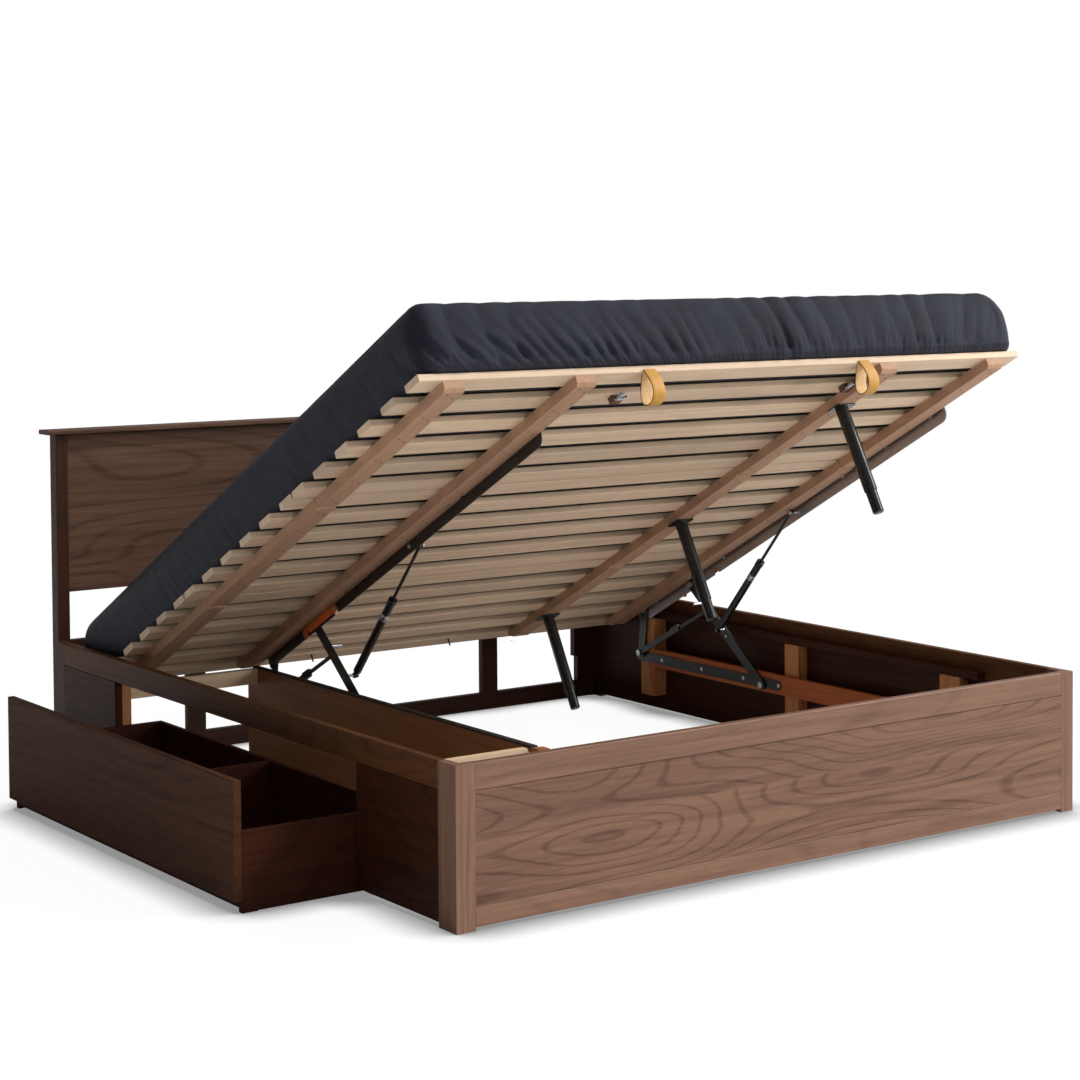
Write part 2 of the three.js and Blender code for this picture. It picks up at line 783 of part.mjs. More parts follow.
// Screw heads of an upper rail, and its pins for the rear link, the strut and the safety catch
function railBolts(lift) {
  const linkEnd = linkGap + linkThickness + linkGap;
  const strutEnd = strutOffset + strutEyeWidth / 2 + linkGap;
  const outer = -steelThickness;
  const catchEnd = outer - linkGap - catchThickness - linkGap;
  const row = underSlats - upperRailBoltDrop;
  return [
    ...upperRailBolts.map((s) => pin(lift, -1, boltHeadThickness, s, row, boltHeadRadius, 12)),
    pivotBolt(lift, -1, linkEnd, { y: rearPivot.s, z: rearPivot.n }),
    pin(lift, -1, strutEnd + 1, strutPivot.s, strutPivot.n, strutStudRadius),
    pin(lift, strutEnd, strutEnd + 4, strutPivot.s, strutPivot.n, strutStudRadius + 2.5),
    pin(lift, outer - boltHeadThickness, outer + 1, strutPivot.s, strutPivot.n, boltHeadRadius, 12),
    pin(lift, catchEnd - 1, outer + 1, catchPivot.s, catchPivot.n, catchPinRadius),
    pin(lift, catchEnd - boltHeadThickness, catchEnd, catchPivot.s, catchPivot.n, boltHeadRadius),
  ];
}

// Soft block forms: rings of a rounded rectangle, each drawn in by its inset at its height
function ring(inset, height) {
  const [x0, x1] = [leftInner + mattressLeftGap + inset, rightInner - mattressRightGap - inset];
  const [s0, s1] = [mattressFoot + inset, mattressFoot + mattressLength - inset];
  const radius = Math.max(mattressPlanRadius - inset, mattressPlanRadius / 4);
  const corners = [
    [x1 - radius, s0 + radius, -Math.PI / 2], [x1 - radius, s1 - radius, 0],
    [x0 + radius, s1 - radius, Math.PI / 2], [x0 + radius, s0 + radius, Math.PI],
  ];
  return corners.flatMap(([x, s, start]) => arc(x, s, radius, start, start + Math.PI / 2, 5))
    .map(([x, s]) => [x, s, height]);
}

// Section of the mattress, from the underside over the edge to the crown, moved in by an offset
function mattressSection(offset, hem) {
  const base = jointGap + offset;
  const top = mattressHeight - offset;
  const points = [];
  if (hem > 0) {
    points.push([hem, base]);
  }
  const low = mattressBottomRadius - offset;
  for (const [a, b] of arc(0, 0, low, -Math.PI / 2, -Math.PI, 4)) {
    points.push([offset + low + a, base + low + b]);
  }
  points.push([offset - mattressBulge, (mattressBottomRadius + mattressHeight - mattressTopRadius) / 2]);
  const high = mattressTopRadius - offset;
  for (const [a, b] of arc(0, 0, high, Math.PI, Math.PI / 2, 5)) {
    points.push([offset + high + a, top - high + b]);
  }
  points.push([mattressTopRadius * 4, top + mattressCrown * 0.45]);
  points.push([mattressTopRadius * 10, top + mattressCrown * 0.8]);
  return points;
}

// A closed body through rings, with a fan at each end
function loft(rings, firstCentre, lastCentre) {
  const count = rings[0].length;
  const points = [...rings.flat(), firstCentre, lastCentre];
  const index = [];
  const last = (rings.length - 1) * count;
  for (let i = 0; i < count; i += 1) {
    const next = (i + 1) % count;
    for (let k = 0; k < rings.length - 1; k += 1) {
      const [a, b] = [k * count + i, k * count + next];
      index.push(a, b, b + count, a, b + count, a + count);
    }
    index.push(points.length - 2, next, i, points.length - 1, last + i, last + next);
  }
  const geometry = new THREE.BufferGeometry();
  geometry.setAttribute('position', new THREE.Float32BufferAttribute(points.flat(), 3));
  geometry.setIndex(index);
  return geometry;
}

function mattressAndSheet() {
  const x = (leftInner + mattressLeftGap + rightInner - mattressRightGap) / 2;
  const s = mattressFoot + mattressLength / 2;
  const filling = mattressSection(sheetThickness + jointGap, 0);
  const outside = mattressSection(0, sheetHem);
  const inside = mattressSection(sheetThickness, sheetHem).reverse();
  const rings = (section) => section.map(([inset, height]) => ring(inset, height));
  const crown = mattressHeight + mattressCrown;
  const gap = sheetThickness + jointGap;
  add(platform, 'mattress', loft(rings(filling), [x, s, jointGap + gap], [x, s, crown - gap]), 'mattress');
  add(platform, 'fitted_sheet', loft(
    rings([...inside, ...outside]),
    [x, s, crown - sheetThickness],
    [x, s, crown],
  ), 'sheet');
}

// A leg under each section's third bearer: a flanged tube and a foot that slides in it
function legs() {
  const top = underBearers - jointGap;
  const tubeTop = top - legFlange.thickness;
  const tubeEnd = tubeTop - legTubeLength;
  const floor = -(closedSlatTop - legFloorGap);
  const bore = legRadius - legWall;
  legInsets.forEach((inset, i) => {
    const tube = revolve([
      [0, tubeTop - legWall], [bore, tubeTop - legWall], [bore, tubeEnd],
      [legRadius, tubeEnd], [legRadius, tubeTop + 0.5], [0, tubeTop + 0.5],
    ], 24);
    tube.rotateX(Math.PI / 2);
    const flange = prism(2, rectangle(
      -legFlange.across / 2, legFlange.across / 2,
      -legFlange.along / 2, legFlange.along / 2, 6,
    ), tubeTop, top);
    const foot = revolve([
      [0, floor], [legFootRadius - legFootChamfer, floor], [legFootRadius, floor + legFootChamfer],
      [legFootRadius, tubeEnd + legFootInside], [0, tubeEnd + legFootInside],
    ], 24);
    foot.rotateX(Math.PI / 2);
    const meshes = [
      add(platform, `leg_tube_${i + 1}`, join(tube, flange), 'steel'),
      add(platform, `leg_foot_${i + 1}`, foot, 'steel'),
    ];
    for (const mesh of meshes) {
      mesh.position.set(legX, i * (sectionLength + sectionGap) + inset, 0);
    }
  });
}

// A drop-shaped band seen from its side, from its top down to its round tip
function drop(width, top, tip, lean, steps) {
  const points = [];
  for (let i = 0; i < steps; i += 1) {
    const turn = (2 * Math.PI * i) / steps;
    const bulge = Math.sin(turn) * Math.abs(Math.sin(turn / 2)) ** 1.4;
    const fall = (1 - Math.cos(turn)) / 2;
    points.push([lean * fall - (width / 2) * bulge, top - (top - tip) * fall]);
  }
  return points;
}

function pullLoops() {
  const front = -jointGap;
  const middle = front - loopThickness / 2;
  loopPlaces.forEach((x, i) => {
    const [x0, x1] = [x - loopWidth / 2, x + loopWidth / 2];
    const outer = drop(loopOpening, -slatThickness / 2, -loopTip, loopLean, 32);
    const inner = drop(loopOpening - 2 * loopThickness, -slatThickness - loopThickness,
      loopThickness - loopTip, loopLean, 32);
    const band = prism(0, outer.map(([a, b]) => [a + middle, b]), x0, x1,
      [inner.map(([a, b]) => [a + middle, b])]);
    const tab = plank([x0, front - loopThickness, -slatThickness], [x1, front, -1]);
    const slat = plank([x0 - 1, front, -slatThickness - jointGap], [x1 + 1, slatWidth, 1]);
    add(platform, `pull_loop_${i + 1}`, cut(join(band, tab), slat), 'leather');
  });
}

// Catches between the first two slats: a block, a barrel toward the foot and a hook beside it
function slatCatches() {
  const block = { half: 13, depth: 22, height: 16 };
  const barrel = { radius: 6, length: 22, drop: 9 };
  const hook = { thickness: 3, radius: 9, wire: 4 };
  const s0 = slatPitch + 2;
  const centre = underSlats - barrel.drop;
  slatCatchPlaces.forEach((x, i) => {
    const body = plank(
      [x - block.half, s0, underSlats - block.height],
      [x + block.half, s0 + block.depth, underSlats],
    );
    const stem = revolve([
      [0, s0 - barrel.length], [barrel.radius - 1, s0 - barrel.length],
      [barrel.radius, s0 - barrel.length + 1], [barrel.radius, s0 + 1], [0, s0 + 1],
    ], 16);
    stem.translate(x, 0, centre);
    const bend = s0 - hook.radius;
    const arm = prism(0, [
      [s0 + 2, centre - hook.wire], [s0 + 2, centre],
      ...arc(bend, centre - hook.radius, hook.radius, Math.PI / 2, Math.PI * 1.1, 8),
      ...arc(bend, centre - hook.radius, hook.radius - hook.wire, Math.PI * 1.1, Math.PI / 2, 8),
    ], x + block.half - hook.thickness, x + block.half);
    add(platform, `slat_catch_${i + 1}`, join(body, stem, arm), 'zinc');
  });
}

// Rear links: the fixed pivot at their foot, the platform's pivot at their top
function rearLinks() {
  for (const lift of lifts) {
    const holes = [
      circle(0, 0, pivotPinRadius + pivotClearance, 20),
      circle(rearLinkLength, 0, pivotPinRadius + pivotClearance, 20),
    ];
    const range = layer(lift, linkGap, linkGap + linkThickness);
    const bar = prism(0, capsule(0, rearLinkLength, rearLinkHalfWidth), ...range, holes);
    const mesh = add(bed, `rear_link_${lift.name}`, bar, 'steel');
    mesh.position.set(0, rearBase.y, rearBase.z);
    mesh.rotation.x = direction(rearBase, rearTop);
  }
}

// Main links, with the stud that the strut's foot stands beside, the stay's stud and a stop bolt
function mainLinks() {
  const outer = linkGap + linkThickness;
  const strutNear = strutOffset - strutEyeWidth / 2 - linkGap;
  for (const lift of lifts) {
    const hole = circle(0, 0, pivotPinRadius + pivotClearance, 20);
    const range = layer(lift, linkGap, outer);
    const bar = prism(0, capsule(0, mainLinkLength, linkHalfWidth), ...range, [hole]);
    const link = join(
      bar,
      pin(lift, outer - 1, outer + pivotHeadThickness, mainLinkLength, 0, pivotHeadRadius),
      pin(lift, outer - 1, strutNear, strutStud.along, strutStud.across, strutStudRadius),
      pin(lift, outer - 1, outer + 1, stayStud.along, stayStud.across, boltHeadRadius),
      pin(lift, outer - 1, outer + stopBolt.length, stopBolt.along, 0, stopBolt.radius),
      pin(lift, outer - 1, outer + pivotHeadThickness, stopBolt.along, 0, stopBolt.radius + 3),
      ...linkRivets.map((along) => pin(lift, outer - 1, outer + 1, along, -4, 4, 10)),
    );
    const mesh = add(bed, `main_link_${lift.name}`, link, 'steel');
    mesh.position.set(0, mainBase.y, mainBase.z);
    mesh.rotation.x = mainLinkAngle;
  }
}

// Telescopic stays: the sleeve turns on the rear link's fixed pivot, the arm slides in it
function stays() {
  const angle = direction(rearBase, stayEnd);
  const far = stayGap + sleeveThickness;
  const armStart = sleeveLength - stayArmInside;
  for (const lift of lifts) {
    const range = layer(lift, stayGap, far);
    const eye = prism(0, circle(0, 0, sleeveHalfWidth, 20), ...range);
    const tube = plank([range[0], 6, -sleeveHalfWidth], [range[1], sleeveLength, sleeveHalfWidth], 1);
    const collarRange = layer(lift, stayGap - 0.4, stayGap - 0.4 + sleeveCollarThickness);
    const collar = prism(0, rectangle(
      sleeveLength - sleeveCollarLength, sleeveLength,
      -sleeveCollarHalfWidth, sleeveHalfWidth + 1, 3,
    ), ...collarRange);
    const [cavity0, cavity1] = layer(lift, stayGap + sleeveWall, far - sleeveWall);
    const cavityHalf = sleeveHalfWidth - 2 * sleeveWall;
    const cavity = plank(
      [cavity0, 2 * sleeveHalfWidth, -cavityHalf],
      [cavity1, sleeveLength + 1, cavityHalf],
    );
    const hole = prism(0, circle(0, 0, pivotPinRadius + pivotClearance, 20), range[0] - 1, range[1] + 1);
    const sleeve = add(bed, `stay_sleeve_${lift.name}`, cut(join(eye, tube, collar), cavity, hole), 'steel');
    sleeve.position.set(0, rearBase.y, rearBase.z);
    sleeve.rotation.x = angle;

    const armHalf = cavityHalf - stayArmClearance;
    const bar = plank(
      [cavity0 + stayArmClearance, armStart, -armHalf],
      [cavity1 - stayArmClearance, stayLength, armHalf],
    );
    const end = prism(0, circle(stayLength, 0, sleeveHalfWidth, 20), ...range);
    const head = pin(lift, far - 1, far + 4, stayLength, 0, boltHeadRadius);
    const arm = add(bed, `stay_arm_${lift.name}`, join(bar, end, head), 'steel');
    arm.position.copy(sleeve.position);
    arm.rotation.copy(sleeve.rotation);
  }
}

// Gas struts: the rod hangs on the platform, the cylinder slides on it down to the main link
function struts() {
  const angle = direction(strutTop, strutFoot) + raisedAngle;
  const foot = strutLength - cylinderEndGap;
  const mouth = foot - cylinderLength;
  const rodHole = rodRadius + pivotClearance;
  const endWall = 5;
  for (const lift of lifts) {
    const eyeRange = [strutOffset - strutEyeWidth / 2, strutOffset + strutEyeWidth / 2];
    const x = layer(lift, strutOffset, strutOffset)[0];
    const tube = revolve([
      [0, foot - endWall], [cylinderBore, foot - endWall], [cylinderBore, mouth + endWall],
      [rodHole, mouth + endWall], [rodHole, mouth], [cylinderRadius, mouth],
      [cylinderRadius, foot], [0, foot],
    ], 24);
    const neck = revolve([
      [0, foot - 1], [rodRadius, foot - 1], [rodRadius, strutLength], [0, strutLength],
    ], 16);
    for (const piece of [tube, neck]) {
      piece.translate(x, 0, 0);
    }
    const cylinder = add(platform, `strut_cylinder_${lift.name}`, join(
      tube,
      neck,
      pin(lift, ...eyeRange, strutLength, 0, strutEyeRadius),
      pin(lift, eyeRange[1] - 1, eyeRange[1] + 4, strutLength, 0, boltHeadRadius),
    ), 'steel');

    const rodEnd = mouth + rodInsideCylinder;
    const rod = revolve([
      [0, 5], [rodRadius, 5], [rodRadius, rodEnd - pistonLength], [pistonRadius, rodEnd - pistonLength],
      [pistonRadius, rodEnd], [0, rodEnd],
    ], 20);
    rod.translate(x, 0, 0);
    const eye = pin(lift, ...eyeRange, 0, 0, strutEyeRadius);
    const hole = pin(lift, eyeRange[0] - 1, eyeRange[1] + 1, 0, 0, strutStudRadius + pivotClearance);
    const rodMesh = add(platform, `strut_rod_${lift.name}`, cut(join(rod, eye), hole), 'steel');
    for (const mesh of [cylinder, rodMesh]) {
      mesh.position.set(0, strutPivot.s, strutPivot.n);
      mesh.rotation.x = angle;
    }
  }
}

// Safety catches on the outer faces of the upper rails, with a hook at the head end
function safetyCatches() {
  const half = catchHalfHeight;
  const hook = catchHook;
  const outline = [
    ...arc(0, 0, half, Math.PI / 2, (3 * Math.PI) / 2, 8),
    [catchReach - hook.neck, -half], [catchReach - hook.throat, half / 3],
    [catchReach - hook.bed, half / 3], [catchReach - hook.lip, -2 * half],
    [catchReach - hook.nose, -1.8 * half], [catchReach, -half / 3], [catchReach - hook.heel, half],
  ];
  for (const lift of lifts) {
    const outer = -steelThickness - linkGap;
    const range = layer(lift, outer - catchThickness, outer);
    const hole = circle(0, 0, catchPinRadius + pivotClearance);
    const mesh = add(platform, `safety_catch_${lift.name}`, prism(0, outline, ...range, [hole]), 'catch');
    mesh.position.set(0, catchPivot.s, catchPivot.n);
  }
}

footPosts();
footBoards();
leftSide();
rightSide();
headboard();
headRails();
divider();
crossRails();
rightMountRail();
baseRails();
drawer();
slattedSections();
upperRails();
mattressAndSheet();
legs();
pullLoops();
slatCatches();
rearLinks();
mainLinks();
stays();
struts();
safetyCatches();

export default bed;
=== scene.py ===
"""Ottoman storage bed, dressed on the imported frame: walnut boards, pine slats, black lift steelwork,
leather pull loops, and a mattress in a dark fitted sheet. Metres, in the frame's own axes."""

import math

import bpy
import numpy as np
from mathutils import Euler, Matrix, Vector


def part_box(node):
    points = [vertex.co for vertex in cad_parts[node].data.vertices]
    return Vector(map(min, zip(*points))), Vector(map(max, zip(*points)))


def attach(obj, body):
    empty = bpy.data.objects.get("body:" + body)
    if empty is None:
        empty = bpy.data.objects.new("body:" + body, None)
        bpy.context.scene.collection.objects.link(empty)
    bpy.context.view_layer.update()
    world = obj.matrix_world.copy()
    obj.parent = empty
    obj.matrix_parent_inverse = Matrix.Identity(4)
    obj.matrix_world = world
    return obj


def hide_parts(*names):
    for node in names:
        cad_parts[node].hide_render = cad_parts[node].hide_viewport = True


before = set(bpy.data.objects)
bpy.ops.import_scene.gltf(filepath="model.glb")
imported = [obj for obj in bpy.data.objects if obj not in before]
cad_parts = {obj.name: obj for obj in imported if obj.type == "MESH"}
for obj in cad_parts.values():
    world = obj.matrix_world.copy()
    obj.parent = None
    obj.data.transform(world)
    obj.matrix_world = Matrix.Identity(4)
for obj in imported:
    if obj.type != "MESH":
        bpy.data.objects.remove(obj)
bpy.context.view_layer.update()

bl_info = {
    "name": "Ottoman bed",
    "version": (1, 0, 0),
    "blender": (4, 5, 0),
    "location": "3D View > Sidebar > Bed",
    "description": "Dresses the packed ottoman bed with materials, bedding and details",
    "category": "Object",
}

MM = 0.001

# The platform's plane in the frame: s runs down from its foot edge to the head, n stands on it
RAISED_ANGLE = math.radians(28.08)
PLATFORM_EDGE = (-0.810, -0.874, 1.1845)

# Sheet: places along its right side, head, left side and foot
SHEET_COUNTS = (260, 200, 460, 720)
# Pleats of the sheet: length, height that they reach, share of the lean, share of the depth, seed
PLEATS = (
    (85 * MM, 260 * MM, 1.0, 1.0, 3),
    (41 * MM, 150 * MM, 1.2, 0.7, 5),
    (19 * MM, 55 * MM, 0.6, 0.3, 8),
)
DEEPEST_VALLEY = -8 * MM
HIGHEST_RIDGE = 10 * MM
RIDGE_MEAN = 0.64

# Mattress: clearance to the sheet, and how much more its sides stay clear of the sheet's valleys
MATTRESS_CLEARANCE = 3.5 * MM
MATTRESS_TUCK = 6 * MM
UNDERSIDE_RADIUS = 24 * MM
UNDERSIDE_LIFT = 0.3 * MM

# Middles of the gas struts' pivots on the platform and at the links, and the struts' places across
STRUT_TOP = (0.0, -0.0775933, 0.6972779)
STRUT_FOOT = (0.0, 0.2561449, 0.3140959)
STRUT_SIDES = (("left", -0.28), ("right", 0.985))

# Height of the boards that the foot panel is glued from
FOOT_BOARD = 208 * MM

# X of the middle between the side faces, and the ledgers' reach from it and their top
BED_MIDDLE = 0.14
LEDGER_INNER, LEDGER_OUTER, LEDGER_TOP = 0.8, 0.9275, 0.3235
# Heights between which only the mount rail has faces, and the cross rails' ends at their posts
MOUNT_LOW, MOUNT_HIGH = 0.15, 0.208
CROSS_START = -0.758

# Slats and bearers
SLAT_PITCH = 115.3 * MM
SLAT_WIDTH = 62 * MM
SLAT_THICKNESS = 18 * MM
SLATS_PER_SECTION = 6
SECTION_LENGTH = 638.5 * MM
SECTION_GAP = 8 * MM
BEARER_DEPTH = 26 * MM
BEARER_MIDDLES = [112 * MM, 470 * MM, 1410 * MM, 1784 * MM]
SCREW_INSET = 12 * MM
SCREW_STEP = 9 * MM
SCREW_RADIUS = 3 * MM
PEG_MIDDLES = (0.690, 1.165)
PEG_REACH = 6 * MM

# Camera, as solved from the photograph
CAMERA_PLACE = (-3.5068, -5.1962, 1.4307)
CAMERA_HEADING = math.radians(35.18)
CAMERA_TILT = math.radians(-2.358)
CAMERA_ROLL = math.radians(-0.377)
PHOTO_SIZE = 1080
FOCAL_PIXELS = 2357.2
MIDDLE_ROW = 356.5
SENSOR_WIDTH = 36.0


def linear(red, green, blue):
    """A screen colour from 0 to 255 as a linear RGBA tuple."""
    def channel(value):
        value /= 255
        return value / 12.92 if value <= 0.04045 else ((value + 0.055) / 1.055) ** 2.4
    return (channel(red), channel(green), channel(blue), 1.0)


def toned(colour, share):
    """A colour made darker or lighter by a share, never above 1."""
    return tuple(min(1.0, value * share) for value in colour[:3]) + (1,)


class BedSizes(bpy.types.PropertyGroup):
    """Sizes of the pieces that are added to the frame."""

    mattress_foot: bpy.props.FloatProperty(
        name="Mattress foot", default=-0.022, unit="LENGTH",
        description="Place of the mattress's foot face along the platform",
    )
    mattress_length: bpy.props.FloatProperty(
        name="Mattress length", default=2.007, unit="LENGTH",
        description="Length of the mattress in its sheet",
    )
    mattress_left: bpy.props.FloatProperty(
        name="Mattress left", default=0.042, unit="LENGTH",
        description="Left face of the mattress, from the bed's left face",
    )
    mattress_width: bpy.props.FloatProperty(
        name="Mattress width", default=1.826, unit="LENGTH",
        description="Width of the mattress in its sheet",
    )
    mattress_height: bpy.props.FloatProperty(
        name="Mattress height", default=0.180, unit="LENGTH",
        description="Height of the mattress's sides",
    )
    crown: bpy.props.FloatProperty(
        name="Crown", default=0.008, unit="LENGTH",
        description="Rise of the mattress's middle above its sides",
    )
    corner_radius: bpy.props.FloatProperty(
        name="Corner radius", default=0.050, unit="LENGTH",
        description="Radius of the mattress's corners, seen from above",
    )
    edge_radius: bpy.props.FloatProperty(
        name="Edge radius", default=0.056, unit="LENGTH",
        description="Radius of the mattress's upper edge",
    )
    bulge: bpy.props.FloatProperty(
        name="Bulge", default=0.008, unit="LENGTH",
        description="How far the mattress's sides stand out at their middle height",
    )
    hem_width: bpy.props.FloatProperty(
        name="Hem", default=0.060, unit="LENGTH",
        description="How far the sheet is drawn in under the mattress",
    )
    fold_depth: bpy.props.FloatProperty(
        name="Fold depth", default=0.013, unit="LENGTH",
        description="Depth of the sheet's gathers at the foot",
    )


class BedColours(bpy.types.PropertyGroup):
    """Colours of the wood, the cloth, the leather and the steel."""

    walnut_light: bpy.props.FloatVectorProperty(
        name="Walnut, light", subtype="COLOR", size=4, default=linear(142, 106, 86),
        description="Light bands of the foot boards and the headboard",
    )
    walnut_dark: bpy.props.FloatVectorProperty(
        name="Walnut, dark", subtype="COLOR", size=4, default=linear(76, 50, 38),
        description="Dark bands of the foot boards and the headboard",
    )
    # Painted shade: the side walnut is the foot's walnut made much darker, for the sides and head
    # pieces that lie in shade
    side_painted_shade_light: bpy.props.FloatVectorProperty(
        name="Side walnut, light", subtype="COLOR", size=4, default=linear(70, 36, 20),
        description="Light bands of the side boards and the drawer",
    )
    side_painted_shade_dark: bpy.props.FloatVectorProperty(
        name="Side walnut, dark", subtype="COLOR", size=4, default=linear(30, 14, 8),
        description="Dark bands of the side boards and the drawer",
    )
    slat: bpy.props.FloatVectorProperty(
        name="Slats", subtype="COLOR", size=4, default=linear(236, 208, 178),
        description="Pale pine of the slats",
    )
    bearer: bpy.props.FloatVectorProperty(
        name="Bearers", subtype="COLOR", size=4, default=linear(190, 149, 120),
        description="Pinkish wood of the bearers",
    )
    beech: bpy.props.FloatVectorProperty(
        name="Inner posts", subtype="COLOR", size=4, default=linear(202, 138, 90),
        description="Posts and rails inside the frame",
    )
    divider: bpy.props.FloatVectorProperty(
        name="Divider", subtype="COLOR", size=4, default=linear(172, 116, 72),
        description="Divider beside the drawer bay",
    )
    sheet: bpy.props.FloatVectorProperty(
        name="Sheet", subtype="COLOR", size=4, default=linear(33, 35, 46),
        description="Charcoal cloth of the fitted sheet",
    )
    leather: bpy.props.FloatVectorProperty(
        name="Leather", subtype="COLOR", size=4, default=linear(206, 150, 58),
        description="Outer face of the pull loops",
    )
    suede: bpy.props.FloatVectorProperty(
        name="Suede", subtype="COLOR", size=4, default=linear(226, 190, 140),
        description="Inner face of the pull loops",
    )
    # Painted shade: the top rails' walnut made darker for the shaded sides
    side_rail_painted_shade: bpy.props.FloatVectorProperty(
        name="Side rails", subtype="COLOR", size=4, default=linear(102, 64, 38),
        description="Light bands of the top rails at the sides",
    )
    # Painted shade: the drawer's walnut front made darker, as it stands in the shade on the left
    drawer: bpy.props.FloatVectorProperty(
        name="Drawer", subtype="COLOR", size=4, default=linear(88, 56, 38),
        description="Light bands of the drawer's front",
    )
    # Partly the rails' own pale wood, partly painted light: made paler to stand in for light that
    # reaches them
    cross: bpy.props.FloatVectorProperty(
        name="Cross rails", subtype="COLOR", size=4, default=linear(244, 214, 178),
        description="Pale wood of the drawer bay's cross rails",
    )
    steel: bpy.props.FloatVectorProperty(
        name="Steel", subtype="COLOR", size=4, default=linear(17, 17, 19),
        description="Black paint of the lift's steelwork",
    )
    rust: bpy.props.FloatVectorProperty(
        name="Safety catch", subtype="COLOR", size=4, default=linear(214, 106, 40),
        description="Orange paint of the safety catches",
    )


# Geometry

def platform_points(x, s, n):
    """Points of the frame from the bed's own measures: x from its left face, s and n on the platform.

    (X, Y, Z) = edge + (x, s cos a + n sin a, n cos a - s sin a), with a the raised angle.
    """
    c, d = math.cos(RAISED_ANGLE), math.sin(RAISED_ANGLE)
    x0, y0, z0 = PLATFORM_EDGE
    x, s, n = np.broadcast_arrays(x, s, n)
    return np.stack([x0 + x, y0 + s * c + n * d, z0 - s * d + n * c], axis=-1)


def platform_coordinates(points):
    """The inverse of platform_points: x, s and n of points of the frame."""
    c, d = math.cos(RAISED_ANGLE), math.sin(RAISED_ANGLE)
    offset = points - np.array(PLATFORM_EDGE)
    return np.stack([
        offset[:, 0],
        offset[:, 1] * c - offset[:, 2] * d,
        offset[:, 1] * d + offset[:, 2] * c,
    ], axis=-1)


def grid_faces(rows, columns, around=True):
    """Quads of a grid of points, closed around its columns if around is set."""
    last = columns if around else columns - 1
    i, j = np.meshgrid(np.arange(rows - 1), np.arange(last), indexing="ij")
    k = (j + 1) % columns
    quads = [i * columns + j, i * columns + k, (i + 1) * columns + k, (i + 1) * columns + j]
    return np.stack(quads, axis=-1).reshape(-1, 4)


def add_piece(name, points, faces, body, materials, face_slots=None):
    """A smooth mesh object on a body, from an array of points and a list of faces."""
    mesh = bpy.data.meshes.new(name)
    mesh.from_pydata(np.asarray(points).reshape(-1, 3).tolist(), [], [list(f) for f in faces])
    mesh.update()
    for material in materials:
        mesh.materials.append(material)
    mesh.polygons.foreach_set("use_smooth", np.ones(len(mesh.polygons), bool))
    if face_slots is not None:
        mesh.polygons.foreach_set("material_index", np.asarray(face_slots, np.int32))
    obj = bpy.data.objects.new(name, mesh)
    bpy.context.scene.collection.objects.link(obj)
    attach(obj, body)
    return obj


def face_centres(mesh):
    """Centres of a mesh's faces as an array."""
    centres = np.zeros(len(mesh.polygons) * 3)
    mesh.polygons.foreach_get("center", centres)
    return centres.reshape(-1, 3)


def soften(obj, width):
    """Rounds the edges of a frame node in the render: weld, a two-step bevel and smooth faces."""
    mesh = obj.data
    if "custom_normal" in mesh.attributes:
        mesh.attributes.remove(mesh.attributes["custom_normal"])
    mesh.polygons.foreach_set("use_smooth", np.ones(len(mesh.polygons), bool))
    weld = obj.modifiers.new("weld", "WELD")
    weld.merge_threshold = 0.01 * MM
    bevel = obj.modifiers.new("bevel", "BEVEL")
    bevel.width = width
    bevel.segments = 2
    bevel.limit_method = "ANGLE"
    bevel.angle_limit = math.radians(32)
    bevel.use_clamp_overlap = True
    normals = obj.modifiers.new("normals", "WEIGHTED_NORMAL")
    normals.keep_sharp = True


def dress(names, materials, width=1.0 * MM, rule=None):
    """Gives frame nodes their materials and soft edges; rule gives each face its material slot."""
    for name in names:
        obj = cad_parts[name]
        obj.data.materials.clear()
        for material in materials:
            obj.data.materials.append(material)
        places = np.zeros(len(obj.data.polygons), np.int32)
        if rule is not None:
            places = rule(obj, face_centres(obj.data)).astype(np.int32)
        obj.data.polygons.foreach_set("material_index", places)
        soften(obj, width)


# Materials

